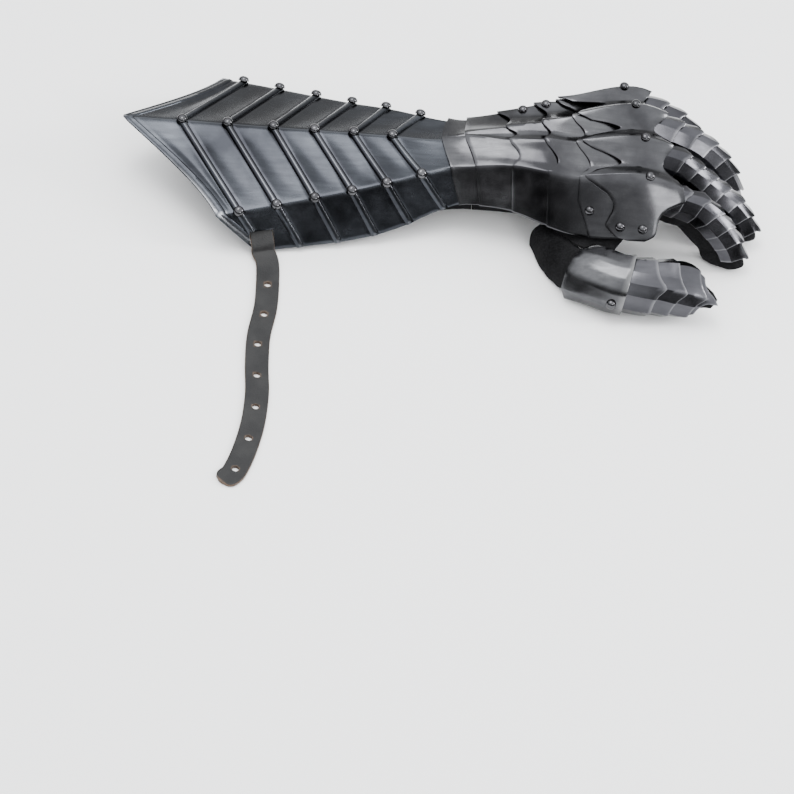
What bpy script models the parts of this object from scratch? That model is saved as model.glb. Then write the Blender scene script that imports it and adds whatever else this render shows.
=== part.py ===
"""Left-hand armoured gauntlet of dark steel plates over a suede glove.

The gauntlet lies palm down on a flat surface, propped on the rim of its cuff, its finger ends and
its thumb. It is drawn level, with +X from the cuff's rim to the finger ends, +Y to the little-finger
side and +Z through the back of the hand, and is then pitched up onto the surface.
"""
import math
from collections import namedtuple

import bmesh
import bpy
import numpy as np
from mathutils import Matrix, Vector

MM = 0.001

# Overall sizes that the section table's shares follow
ARM_LENGTH = 400 * MM
KNUCKLE_BREADTH = 100 * MM
PLATE_HEIGHT = 50 * MM
REST_PITCH = math.radians(8.0)

# Sheet, clearance and rivet sizes
CUFF_SHEET = 1.2 * MM
LAME_SHEET = 1.0 * MM
SCALE_SHEET = 0.7 * MM
GAP = 0.4 * MM
RIVET_RADIUS = 3.4 * MM
RIVET_HEIGHT = 2.5 * MM
RIVET_SINK = 0.7 * MM
RIVET_SIDES = 8

# Cuff
RIB_WIDTH = 4.0 * MM
RIB_HEIGHT = 1.8 * MM
BORDER_WIDTH = 5.5 * MM
BORDER_HEIGHT = 0.9 * MM
RIM_RIDGE_X = 0.16125 * ARM_LENGTH
RIM_HEM_X = 0.22825 * ARM_LENGTH
RIM_BOW = 0.5
RIB_BOW = 0.15
RIB_HEM_SHIFT = 0.04 * ARM_LENGTH
CUFF_END_X = 0.56 * ARM_LENGTH
CUFF_END_SHIFT = 0.0125 * ARM_LENGTH
SLOT_LENGTH = 22.0 * MM
SLOT_HEIGHT = 10.0 * MM

# Fingers and thumb
FINGER_WIDTH = 19.0 * MM
FINGER_DEPTH = 23.0 * MM
STALL_DEPTH = 32.0 * MM
SCALE_POINT = 7.0 * MM
SCALE_OVERLAP = 7.0 * MM
THUMB_WIDTH = 35.0 * MM
THUMB_DEPTH = 24.0 * MM
SUEDE = 1.6 * MM

# Straps and buckle
STRAP_WIDTH = 16.0 * MM
STRAP_THICKNESS = 2.2 * MM
PALM_STRAP_WIDTH = 15.0 * MM
HOLE_RADIUS = 2.4 * MM
HOLE_COUNT = 7
BUCKLE_LENGTH = 24.0 * MM
BUCKLE_BREADTH = 26.0 * MM
BUCKLE_WIRE = 1.8 * MM

# The surface that all plates follow, cut across at shares of the arm's length. A line's place is
# (across as a share of the knuckle breadth, height as a share of the plate height).
Section = namedtuple("Section", "x near_hem index middle ring little far_hem dip")
SECTIONS = (
    Section(0.000, (-0.98, 0.06), (-0.876, 0.56), (-0.006, 1.12), (0.006, 1.12), (0.876, 0.56), (0.98, 0.06), 0.0),
    Section(0.161, (-0.83, 0.00), (-0.697, 0.554), (-0.006, 0.974), (0.006, 0.974), (0.697, 0.554), (0.83, 0.00), 0.0),
    Section(0.228, (-0.757, -0.01), (-0.625, 0.55), (-0.006, 0.91), (0.006, 0.91), (0.625, 0.55), (0.757, -0.01), 0.0),
    Section(0.384, (-0.60, -0.12), (-0.451, 0.52), (-0.006, 0.768), (0.006, 0.768), (0.451, 0.52), (0.60, -0.12), 0.0),
    Section(0.460, (-0.51, -0.10), (-0.366, 0.536), (-0.006, 0.698), (0.006, 0.698), (0.366, 0.536), (0.51, -0.10), 0.0),
    Section(0.550, (-0.37, 0.03), (-0.242, 0.54), (-0.006, 0.616), (0.006, 0.616), (0.242, 0.54), (0.37, 0.03), 0.0),
    Section(0.590, (-0.35, 0.08), (-0.23, 0.55), (-0.012, 0.68), (0.012, 0.684), (0.23, 0.53), (0.35, 0.08), 0.01),
    Section(0.668, (-0.40, 0.04), (-0.257, 0.61), (-0.09, 0.75), (0.03, 0.77), (0.23, 0.69), (0.38, 0.12), 0.03),
    Section(0.727, (-0.50, -0.05), (-0.323, 0.62), (-0.122, 0.81), (0.038, 0.84), (0.258, 0.78), (0.42, 0.16), 0.05),
    Section(0.779, (-0.57, -0.12), (-0.36, 0.57), (-0.14, 0.79), (0.051, 0.91), (0.29, 0.79), (0.48, 0.20), 0.08),
    Section(0.889, (-0.64, -0.11), (-0.39, 0.60), (-0.125, 0.81), (0.14, 0.916), (0.40, 0.77), (0.58, 0.28), 0.13),
    Section(0.965, (-0.64, -0.16), (-0.41, 0.38), (-0.135, 0.60), (0.13, 0.66), (0.39, 0.43), (0.57, 0.04), 0.07),
    Section(1.000, (-0.64, -0.24), (-0.42, 0.28), (-0.14, 0.48), (0.125, 0.54), (0.385, 0.30), (0.56, -0.12), 0.05),
)
# Lanes across the surface: hem, ridge, dip, ridge, dip, ridge, dip, ridge, hem
NEAR_HEM, INDEX, DIP_IM, MIDDLE, DIP_MR, RING, DIP_RL, LITTLE, FAR_HEM = range(9)

# Ribs of the cuff, as shares of the arm's length along the crown and along the two side ridges
Rib = namedtuple("Rib", "crown ridge")
RIBS = (
    Rib(0.099, 0.198),
    Rib(0.177, 0.262),
    Rib(0.256, 0.327),
    Rib(0.327, 0.391),
    Rib(0.395, 0.451),
    Rib(0.462, 0.511),
)

# Lanes whose edges the plate tables give: as above, with one more on each flank
# The plate tables count in 400ths of the arm's length
TABLE_STEP = ARM_LENGTH / 400
EDGE_LANES = (0, 0.6, 1, 2, 3, 4, 5, 6, 7, 7.4, 8)
# Back and front edges of the hand's plates in those lanes, and their lifts, in mm from the rim's point
Plate = namedtuple("Plate", "name back front lift_back lift_front")
WRIST_LAME = Plate("wrist_lame", (231, 227, 225, 222, 219.5, 219.5, 219.5, 221, 224, 226, 230),
                   (246, 245.5, 245, 244, 243, 243, 243, 244, 245, 245, 246), 2.5, 0.35)
HAND_LAMES = (
    Plate("hand_lame_1", (245, 243.5, 242.7, 240, 236, 236, 236, 237, 238, 240, 243),
          (276, 276.6, 277, 280, 276, 280, 275, 277, 272, 273, 274), 3.0, 0.3),
    Plate("hand_lame_2", (268, 268.2, 268.4, 273.2, 266.3, 271.9, 264.3, 267.7, 259.4, 260, 262),
          (300, 300.6, 301, 306, 301, 304, 299, 301, 294, 294, 294), 3.0, 0.3),
    Plate("hand_lame_3", (292, 292.3, 292.5, 299, 290.2, 295, 289.2, 293.3, 285, 285, 286),
          (320, 321.5, 323, 330, 323, 328, 321, 323, 307, 307, 307), 3.3, 0.3),
    Plate("hand_lame_4", (320.8, 312.8, 314, 321.6, 312, 318.6, 310, 313, 300, 300, 301),
          (341, 342, 340, 352, 340, 350, 338, 344, 330, 330, 330), 3.0, 0.3),
)
KNUCKLE_PLATE = Plate("knuckle_plate", (334.5, 335, 317.5, 343, 316, 343, 314, 334.4, 301.5, 310, 322),
                      (364.3, 376, 384, 371, 378, 366, 376, 361, 366, 358, 350), 4.8, 3.8)

# A finger's ridge line: x in shares of the arm's length, across and height as in the sections
Finger = namedtuple("Finger", "name roll scales path")
FINGERS = (
    Finger("index", 10.0, 6, ((0.905, -0.395, 0.545), (0.965, -0.41, 0.345), (1.005, -0.415, 0.18),
                              (1.040, -0.44, -0.14), (1.065, -0.46, -0.48), (1.077, -0.485, -0.80),
                              (1.080, -0.49, -0.92))),
    Finger("middle", 6.0, 7, ((0.905, -0.126, 0.74), (0.965, -0.135, 0.56), (1.000, -0.14, 0.30),
                               (1.037, -0.155, 0.00), (1.075, -0.18, -0.30), (1.103, -0.205, -0.76),
                              (1.106, -0.215, -0.93))),
    Finger("ring", 0.0, 7, ((0.900, 0.139, 0.86), (0.965, 0.13, 0.62), (1.012, 0.115, 0.40),
                             (1.050, 0.095, 0.06), (1.072, 0.075, -0.30), (1.080, 0.055, -0.78),
                            (1.082, 0.045, -0.92))),
    Finger("little", -6.0, 6, ((0.875, 0.41, 0.73), (0.930, 0.40, 0.58), (0.975, 0.38, 0.36),
                                (1.005, 0.36, 0.08), (1.025, 0.335, -0.30), (1.033, 0.31, -0.76),
                                (1.034, 0.30, -0.88))),
)
# Thumb's ridge line
THUMB_PATH = ((0.718, -0.41, -0.20), (0.743, -0.68, -0.18), (0.788, -0.87, -0.08), (0.838, -0.99, -0.11),
              (0.873, -1.035, -0.16), (0.932, -1.05, -0.25), (1.000, -1.05, -0.44), (1.018, -1.08, -0.52))

COLLECTION_NAME = "armoured_gauntlet"
STEEL_DARK = ((0.045, 0.047, 0.052), 0.32, 0.9)
STEEL_SCALE = ((0.06, 0.062, 0.07), 0.3, 0.9)
SUEDE_BLACK = ((0.018, 0.018, 0.02), 0.95, 0.0)
LEATHER_BLACK = ((0.03, 0.03, 0.032), 0.55, 0.0)
NICKEL = ((0.55, 0.55, 0.56), 0.22, 1.0)


def clear_scene():
    """Remove what the start-up file holds."""
    for old in list(bpy.data.objects):
        bpy.data.objects.remove(old, do_unlink=True)


def make_collection(name):
    """Return a new collection of the scene."""
    group = bpy.data.collections.new(name)
    bpy.context.scene.collection.children.link(group)
    return group


def smooth_curve(knots, values, x):
    """Value at x of a smooth curve through (knots, values), straight beyond its ends."""
    if x <= knots[0]:
        i = 0
    elif x >= knots[-1]:
        i = len(knots) - 2
    else:
        i = max(k for k in range(len(knots) - 1) if knots[k] <= x)
    step = knots[i + 1] - knots[i]
    u = (x - knots[i]) / step
    rise = (values[i + 1] - values[i]) / step
    if u < 0.0 or u > 1.0:
        return values[i] + (values[i + 1] - values[i]) * u
    before = rise if i == 0 else (values[i + 1] - values[i - 1]) / (knots[i + 1] - knots[i - 1])
    last = i + 2 > len(knots) - 1
    after = rise if last else (values[i + 2] - values[i]) / (knots[i + 2] - knots[i])
    h00 = 2 * u ** 3 - 3 * u ** 2 + 1
    h10 = u ** 3 - 2 * u ** 2 + u
    h01 = -2 * u ** 3 + 3 * u ** 2
    h11 = u ** 3 - u ** 2
    return h00 * values[i] + h10 * step * before + h01 * values[i + 1] + h11 * step * after


SECTION_X = [row.x * ARM_LENGTH for row in SECTIONS]


def lane_line(lane, x):
    """Place (y, z) of a whole lane's line at x."""
    names = {NEAR_HEM: "near_hem", INDEX: "index", MIDDLE: "middle", RING: "ring", LITTLE: "little",
             FAR_HEM: "far_hem"}
    if lane in names:
        pairs = [getattr(row, names[lane]) for row in SECTIONS]
        y = smooth_curve(SECTION_X, [p[0] * KNUCKLE_BREADTH for p in pairs], x)
        z = smooth_curve(SECTION_X, [p[1] * PLATE_HEIGHT for p in pairs], x)
        return y, z
    low = lane_line(lane - 1, x)
    high = lane_line(lane + 1, x)
    dip = smooth_curve(SECTION_X, [row.dip * PLATE_HEIGHT for row in SECTIONS], x)
    return (low[0] + high[0]) / 2, (low[1] + high[1]) / 2 - dip


def skin(x, lane):
    """Point of the surface that the plates follow."""
    whole = min(int(lane), FAR_HEM - 1)
    share = lane - whole
    low = lane_line(whole, x)
    high = lane_line(whole + 1, x)
    return Vector((x, low[0] + (high[0] - low[0]) * share, low[1] + (high[1] - low[1]) * share))


def skin_normal(x, lane):
    """Outward normal of that surface, the mean of both sides at a ridge."""
    step = 0.3
    here = skin(x, lane)
    across = Vector()
    for side in (-1, 1):
        there = lane + side * step
        if NEAR_HEM <= there <= FAR_HEM:
            across += (skin(x, there) - here).normalized() * side
    along = skin(x + MM, lane) - skin(x - MM, lane)
    return along.cross(across).normalized()


def lifted(x, lane, lift):
    """Point at a height over the surface."""
    return skin(x, lane) + skin_normal(x, lane) * lift


def finish_object(obj, group, finish):
    """Link an object and give it its own material."""
    group.objects.link(obj)
    colour, rough, metal = finish
    material = bpy.data.materials.new(obj.name)
    material.use_nodes = True
    shader = material.node_tree.nodes["Principled BSDF"]
    shader.inputs["Base Color"].default_value = (*colour, 1.0)
    shader.inputs["Roughness"].default_value = rough
    shader.inputs["Metallic"].default_value = metal
    obj.data.materials.append(material)
    return obj


def sheet_mesh(name, rows):
    """Open mesh over a grid of points, its normals to the left of across times along."""
    wide = len(rows[0])
    verts = [point for row in rows for point in row]
    faces = []
    for r in range(len(rows) - 1):
        for c in range(wide - 1):
            a = r * wide + c
            faces.append((a, a + wide, a + wide + 1, a + 1))
    mesh = bpy.data.meshes.new(name)
    mesh.from_pydata([tuple(v) for v in verts], [], faces)
    return mesh


def tube_mesh(name, outer, inner):
    """Closed cup: an outer and an inner loft of rings, open at the first ring."""
    sides = len(outer[0])
    verts = [p for ring in outer for p in ring] + [p for ring in inner for p in ring]
    faces = []

    def band(first, second, flip):
        for s in range(sides):
            n = (s + 1) % sides
            quad = (first + s, first + n, second + n, second + s)
            faces.append(quad[::-1] if flip else quad)

    for r in range(len(outer) - 1):
        band(r * sides, (r + 1) * sides, False)
    base = len(outer) * sides
    for r in range(len(inner) - 1):
        band(base + r * sides, base + (r + 1) * sides, True)
    band(0, base, True)
    faces.append(tuple((len(outer) - 1) * sides + s for s in range(sides)))
    faces.append(tuple(base + (len(inner) - 1) * sides + s for s in reversed(range(sides))))
    mesh = bpy.data.meshes.new(name)
    mesh.from_pydata([tuple(v) for v in verts], [], faces)
    outward(mesh)
    return mesh


def outward(mesh):
    """Turn a closed mesh's faces outward."""
    work = bmesh.new()
    work.from_mesh(mesh)
    bmesh.ops.recalc_face_normals(work, faces=work.faces)
    if work.calc_volume(signed=True) < 0:
        bmesh.ops.reverse_faces(work, faces=work.faces)
    work.to_mesh(mesh)
    work.free()


def thicken(obj, thickness):
    """Give an open sheet its thickness on the outer side."""
    solid = obj.modifiers.new("sheet", "SOLIDIFY")
    solid.thickness = thickness
    solid.offset = 1.0
    solid.use_even_offset = True
    return solid


def rivet_heads(name, seats):
    """One mesh of domed rivet heads at (point, normal) seats."""
    work = bmesh.new()
    rings = ((RIVET_RADIUS, -RIVET_SINK), (RIVET_RADIUS, 0.25 * RIVET_HEIGHT),
             (0.62 * RIVET_RADIUS, 0.8 * RIVET_HEIGHT))
    for point, normal in seats:
        turn = normal.to_track_quat("Z", "X").to_matrix()
        loops = []
        for radius, height in rings:
            loop = []
            for k in range(RIVET_SIDES):
                angle = 2 * math.pi * k / RIVET_SIDES
                local = Vector((radius * math.cos(angle), radius * math.sin(angle), height))
                loop.append(work.verts.new(point + turn @ local))
            loops.append(loop)
        top = work.verts.new(point + turn @ Vector((0, 0, RIVET_HEIGHT)))
        work.faces.new(loops[0][::-1])
        for low, high in zip(loops, loops[1:]):
            for k in range(RIVET_SIDES):
                n = (k + 1) % RIVET_SIDES
                work.faces.new((low[k], low[n], high[n], high[k]))
        for k in range(RIVET_SIDES):
            work.faces.new((loops[-1][k], loops[-1][(k + 1) % RIVET_SIDES], top))
    mesh = bpy.data.meshes.new(name)
    work.to_mesh(mesh)
    work.free()
    outward(mesh)
    return mesh


def join_heads(obj, guides, seats):
    """Fuse rivet heads to a plate."""
    heads = bpy.data.objects.new(obj.name + "_heads", rivet_heads(obj.name + "_heads", seats))
    guides.objects.link(heads)
    heads.hide_render = True
    heads.display_type = "WIRE"
    heads.parent = obj.parent
    union = obj.modifiers.new("rivets", "BOOLEAN")
    union.operation = "UNION"
    union.solver = "EXACT"
    union.object = heads
    return heads


def cuff_share(lane):
    """How far a cuff lane lies out from the crown, 0 to 1 on top, and down the flank, 0 to 1."""
    if lane < INDEX:
        return 1.0, 1.0 - lane
    if lane < MIDDLE:
        return (MIDDLE - lane) / (MIDDLE - INDEX), 0.0
    if lane <= RING:
        return 0.0, 0.0
    if lane <= LITTLE:
        return (lane - RING) / (LITTLE - RING), 0.0
    return 1.0, lane - LITTLE


def chevron_x(crown, ridge, hem, bow, lane):
    """X of a chevron line of the cuff in a lane."""
    out, down = cuff_share(lane)
    return crown + (ridge - crown) * (out + bow * out * (1 - out)) + (hem - ridge) * down


CUFF_LANES = (0, 0.5, 1, 1.65, 2.35, 4, 5.65, 6.35, 7, 7.5, 8)
CROWN_LANE = 4


def build_cuff(group, guides, root):
    """Flared cuff: one sheet with a raised rim border, six hollow ribs a side and its rivet heads."""
    half_rib = RIB_WIDTH / 2
    lines = [(0.0, RIM_RIDGE_X, RIM_HEM_X, RIM_BOW, 0.0, BORDER_HEIGHT)]
    lines.append((0.0, RIM_RIDGE_X, RIM_HEM_X, RIM_BOW, BORDER_WIDTH, BORDER_HEIGHT))
    lines.append((0.0, RIM_RIDGE_X, RIM_HEM_X, RIM_BOW, BORDER_WIDTH + BORDER_HEIGHT, 0.0))
    for rib in RIBS:
        crown = rib.crown * ARM_LENGTH
        ridge = rib.ridge * ARM_LENGTH
        for shift, height in ((-half_rib, 0.0), (-0.45 * half_rib, RIB_HEIGHT), (0.45 * half_rib, RIB_HEIGHT),
                              (half_rib, 0.0)):
            lines.append((crown, ridge, ridge + RIB_HEM_SHIFT, RIB_BOW, shift, height))
    lines.append((CUFF_END_X, CUFF_END_X + CUFF_END_SHIFT, CUFF_END_X + 2 * CUFF_END_SHIFT, 0.0, 0.0, 0.0))
    rows = []
    for crown, ridge, hem, bow, shift, height in lines:
        row = []
        for lane in CUFF_LANES:
            x = chevron_x(crown, ridge, hem, bow, lane) + shift
            row.append(lifted(x, lane, height * (1.0 - 0.65 * cuff_share(lane)[1])))
        rows.append(row)
    cuff = bpy.data.objects.new("cuff", sheet_mesh("cuff", rows))
    finish_object(cuff, group, STEEL_DARK)
    cuff.parent = root
    thicken(cuff, CUFF_SHEET)
    cut_strap_slot(cuff, guides, root)
    seats = []
    for rib in RIBS:
        for lane, x in ((CROWN_LANE, rib.crown), (INDEX, rib.ridge), (LITTLE, rib.ridge)):
            place = lifted(x * ARM_LENGTH, lane, CUFF_SHEET + RIB_HEIGHT)
            seats.append((place, skin_normal(x * ARM_LENGTH, lane)))
    join_heads(cuff, guides, seats)
    return cuff


def lane_value(values, lane):
    """Read a plate's edge between whole lanes."""
    k = max(i for i in range(len(EDGE_LANES) - 1) if EDGE_LANES[i] <= lane)
    share = (lane - EDGE_LANES[k]) / (EDGE_LANES[k + 1] - EDGE_LANES[k])
    return (values[k] + (values[k + 1] - values[k]) * share) * TABLE_STEP


def build_plate(plate, lanes, cuts, group, root, sheet):
    """One plate of the hand that follows the surface, lifted clear of the plate under it."""
    rows = []
    for cut in cuts:
        row = []
        for lane in lanes:
            back = lane_value(plate.back, lane)
            front = lane_value(plate.front, lane)
            lift = plate.lift_back + (plate.lift_front - plate.lift_back) * cut
            row.append(lifted(back + (front - back) * cut, lane, lift * MM))
        rows.append(row)
    obj = bpy.data.objects.new(plate.name, sheet_mesh(plate.name, rows))
    finish_object(obj, group, STEEL_DARK)
    obj.parent = root
    thicken(obj, sheet)
    return obj


KNUCKLE_LANES = (0, 0.3, 0.6, 1, 1.5, 2, 2.5, 3, 3.5, 4, 4.5, 5, 5.5, 6, 6.5, 7, 7.4, 8)
LAME_CUTS = (0.0, 0.25, 0.5, 0.75, 1.0)
KNUCKLE_CUTS = (0.0, 0.25, 0.5, 0.75, 1.0)
# Rivet seats of the hand's plates: lane and table steps from the rim's point
LAME_RIVETS = {"hand_lame_2": ((6.85, 277),), "hand_lame_3": ((6.85, 293),), "hand_lame_4": ((0.46, 321),)}
KNUCKLE_RIVETS = ((1.0, 361), (3.0, 359), (5.0, 354), (7.0, 348), (0.22, 342), (0.2, 357))


def build_hand_plates(group, guides, root):
    """Wrist lame, four hand lames and the ridged knuckle plate."""
    made = [build_plate(WRIST_LAME, EDGE_LANES, LAME_CUTS, group, root, LAME_SHEET)]
    for lame in HAND_LAMES:
        obj = build_plate(lame, EDGE_LANES, LAME_CUTS, group, root, LAME_SHEET)
        made.append(obj)
        if lame.name in LAME_RIVETS:
            join_heads(obj, guides, plate_seats(lame, LAME_RIVETS[lame.name], LAME_SHEET))
    knuckle = build_plate(KNUCKLE_PLATE, KNUCKLE_LANES, KNUCKLE_CUTS, group, root, LAME_SHEET)
    join_heads(knuckle, guides, plate_seats(KNUCKLE_PLATE, KNUCKLE_RIVETS, LAME_SHEET))
    made.append(knuckle)
    return made


def plate_seats(plate, places, sheet):
    """Where a plate's rivet heads sit on its outer face."""
    seats = []
    for lane, x in places:
        back = lane_value(plate.back, lane)
        front = lane_value(plate.front, lane)
        cut = (x * TABLE_STEP - back) / (front - back)
        lift = (plate.lift_back + (plate.lift_front - plate.lift_back) * cut) * MM + sheet
        seats.append((lifted(x * TABLE_STEP, lane, lift), skin_normal(x * TABLE_STEP, lane)))
    return seats


class Spine:
    """A smooth line in space with a frame: ahead, across and up."""

    def __init__(self, points, roll, up=(0.0, 0.0, 1.0)):
        self.points = [Vector(p) for p in points]
        spans = [(b - a).length for a, b in zip(self.points, self.points[1:])]
        self.stations = [0.0]
        for span in spans:
            self.stations.append(self.stations[-1] + span)
        self.length = self.stations[-1]
        self.roll = math.radians(roll)
        self.up = Vector(up)

    def at(self, s):
        """Point at a distance along the line."""
        return Vector([smooth_curve(self.stations, [p[i] for p in self.points], s) for i in range(3)])

    def frame(self, s):
        """Point and its ahead, across and up directions."""
        ahead = (self.at(s + MM) - self.at(s - MM)).normalized()
        side = self.up.cross(self.at(self.length * 0.3) - self.at(0)).normalized()
        across = (side - ahead * side.dot(ahead)).normalized()
        across = Matrix.Rotation(self.roll, 3, ahead) @ across
        return self.at(s), ahead, across, ahead.cross(across).normalized()


# Scale's section, as shares of the finger's width across and of its depth down, and how far the
# front edge falls back there, as a share of the point
ScaleLine = namedtuple("ScaleLine", "across down back")
SCALE_LINES = (
    ScaleLine(-0.52, 0.68, 1.0),
    ScaleLine(-0.47, 0.34, 0.75),
    ScaleLine(-0.22, 0.05, 0.6),
    ScaleLine(0.0, 0.0, 0.0),
    ScaleLine(0.22, 0.05, 0.6),
    ScaleLine(0.47, 0.34, 0.75),
    ScaleLine(0.52, 0.68, 1.0),
)
# The suede finger's section inside the scales
STALL_LINES = ((0.0, 0.012), (0.24, 0.08), (0.43, 0.36), (0.43, 0.72), (0.24, 0.98), (-0.24, 0.98),
               (-0.43, 0.72), (-0.43, 0.36), (-0.24, 0.08))


def section_normals(lines, width, depth):
    """Outward direction (across, up) at each point of an open section."""
    flat = [Vector((line.across * width, -line.down * depth)) for line in lines]
    normals = []
    for i in range(len(flat)):
        total = Vector((0.0, 0.0))
        for a, b in ((i - 1, i), (i, i + 1)):
            if 0 <= a and b < len(flat):
                span = (flat[b] - flat[a]).normalized()
                total += Vector((-span.y, span.x))
        normals.append(total.normalized())
    return normals


def build_scale(name, spine, start, end, width, depth, lifts, size_at, group, root, point=SCALE_POINT):
    """One pointed scale over a finger from one distance along it to another."""
    rows = []
    for k, lift in enumerate(lifts):
        cut = k / (len(lifts) - 1)
        size = size_at(start + (end - start) * cut)
        normals = section_normals(SCALE_LINES, width * size, depth * size)
        row = []
        for line, normal in zip(SCALE_LINES, normals):
            s = start + (end - start - line.back * point) * cut
            origin, ahead, across, up = spine.frame(s)
            y = line.across * width * size + normal.x * lift
            z = -line.down * depth * size + normal.y * lift
            row.append(origin + across * y + up * z)
        rows.append(row)
    obj = bpy.data.objects.new(name, sheet_mesh(name, rows))
    finish_object(obj, group, STEEL_SCALE)
    obj.parent = root
    thicken(obj, SCALE_SHEET)
    return obj


class Floor:
    """The surface that the gauntlet rests on, seen from its level frame."""

    def __init__(self, lowest_points):
        self.normal = Vector((math.sin(REST_PITCH), 0.0, math.cos(REST_PITCH)))
        self.level = min(self.normal.dot(p) for p in lowest_points)

    def height(self, point):
        """Height of a point over the surface."""
        return self.normal.dot(point) - self.level

    def rest(self, point, clear=0.0):
        """The point itself, or where it is pressed flat on the surface."""
        return point - self.normal * min(0.0, self.height(point) - clear)

    def under(self, x, y, height=0.0):
        """Point at a height over the surface below or above a place."""
        start = Vector((x, y, 0.0))
        return start - self.normal * (self.height(start) - height)


def evaluated_points(obj):
    """Corners of an object's finished mesh in its own frame."""
    shown = obj.evaluated_get(bpy.context.evaluated_depsgraph_get())
    mesh = shown.to_mesh()
    points = [v.co.copy() for v in mesh.vertices]
    shown.to_mesh_clear()
    return points


def shrink(ring, wall):
    """A ring moved inward by a wall's thickness in its own plane."""
    centre = sum(ring, Vector()) / len(ring)
    plane = Vector()
    for i, p in enumerate(ring):
        plane += (p - centre).cross(ring[(i + 1) % len(ring)] - centre)
    plane.normalize()
    inner = []
    for i, p in enumerate(ring):
        back = (p - ring[i - 1]).normalized()
        ahead = (ring[(i + 1) % len(ring)] - p).normalized()
        inward = (plane.cross(back) + plane.cross(ahead)).normalized()
        inner.append(p + inward * wall)
    return inner


def add_object(name, mesh, finish, group, root):
    """Place a finished mesh in the model."""
    obj = bpy.data.objects.new(name, mesh)
    finish_object(obj, group, finish)
    obj.parent = root
    return obj


def spine_of(path, roll, up=(0.0, 0.0, 1.0)):
    """Spine through a table's points."""
    points = [(p[0] * ARM_LENGTH, p[1] * KNUCKLE_BREADTH, p[2] * PLATE_HEIGHT) for p in path]
    return Spine(points, roll, up)


STALL_CUTS = (0.06, 0.2, 0.4, 0.58, 0.75, 0.9, 0.985)
TIP_SIZE = 0.84
SCALE_LEAD = 25.0 * MM
BARE_TIP = 6.5 * MM
# Height of a scale's inner face over its finger at the rear, and of the first scale of a row
SCALE_SEAT = 0.3 * MM
FIRST_LIFTS = (-0.3 * MM, 0.3 * MM, 0.9 * MM, 1.5 * MM)


def stall_rings(spine, width, depth, cuts, sizes, floor):
    """Outer and inner rings of a suede stall along a spine."""
    outer = []
    for cut, (wide, deep) in zip(cuts, sizes):
        origin, ahead, across, up = spine.frame(cut * spine.length)
        ring = [origin + across * (y * width * wide) - up * (z * depth * deep) for y, z in STALL_LINES]
        outer.append(ring)
    inner = [shrink(ring, SUEDE) for ring in outer[:-1]]
    inner[-1] = [p - (outer[-1][i] - outer[-2][i]) * 0.2 for i, p in enumerate(inner[-1])]
    outer = [[floor.rest(p) for p in ring] for ring in outer]
    inner = [[floor.rest(p, SUEDE) for p in ring] for ring in inner]
    return outer, inner


def build_finger(finger, floor, group, root):
    """One finger: a suede stall under overlapping pointed scales."""
    spine = spine_of(finger.path, finger.roll)
    def size_at(s):
        return 1.0 - (1.0 - TIP_SIZE) * (s / spine.length) ** 2

    sizes = [(size_at(cut * spine.length), size_at(cut * spine.length)) for cut in STALL_CUTS]
    sizes[-1] = (sizes[-1][0] * 0.8, sizes[-1][1] * 0.6)
    outer, inner = stall_rings(spine, FINGER_WIDTH, STALL_DEPTH, STALL_CUTS, sizes, floor)
    add_object("stall_" + finger.name, tube_mesh("stall_" + finger.name, outer, inner), SUEDE_BLACK, group, root)
    pitch = (spine.length - BARE_TIP - SCALE_LEAD - SCALE_OVERLAP) / (finger.scales - 1)
    step = SCALE_SHEET + GAP
    for i in range(finger.scales):
        start = 0.0 if i == 0 else SCALE_LEAD + (i - 1) * pitch
        end = SCALE_LEAD + i * pitch + SCALE_OVERLAP
        high = SCALE_SEAT + step * (pitch + SCALE_OVERLAP) / pitch
        lifts = (SCALE_SEAT, (SCALE_SEAT + high) / 2, high)
        if i == 0:
            lifts = FIRST_LIFTS + (high,)
        name = "scale_%s_%d" % (finger.name, i + 1)
        build_scale(name, spine, start, end, FINGER_WIDTH, FINGER_DEPTH, lifts, size_at, group, root)


THUMB_UP = (0.0, -0.62, 0.78)
THUMB_BASE_START = 0.30
THUMB_BASE_END = 0.585
THUMB_TIPS = (0.75, 0.845, 0.94, 1.0)
THUMB_POINT = 10.0 * MM
THUMB_TAPER_LENGTH = 26.0 * MM
THUMB_TAPER = 0.62
# Breadths of the suede thumb and of the base plate as shares of the scales'
THUMB_SUEDE_SHARE = 0.98
BASE_PLATE_SHARE = 1.04
BASE_PLATE_BELL = 0.12
BASE_PLATE_LIFTS = (0.6 * MM, 0.8 * MM, 1.0 * MM, 1.7 * MM, 2.4 * MM)
THUMB_RIVET_BACK = 7.0 * MM
THUMB_RIVET_LIFT = 2.9 * MM
# Suede thumb's rings: share of its length, width and depth as shares of the thumb's
StallRing = namedtuple("StallRing", "cut wide deep")
THUMB_RINGS = (
    StallRing(0.0, 1.0, 1.9), StallRing(0.16, 1.0, 1.65), StallRing(0.33, 1.0, 1.3), StallRing(0.49, 1.0, 1.05),
    StallRing(0.62, 1.0, 1.0), StallRing(0.76, 0.95, 0.97), StallRing(0.87, 0.78, 0.85), StallRing(0.94, 0.5, 0.6),
    StallRing(0.985, 0.25, 0.35),
)


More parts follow.
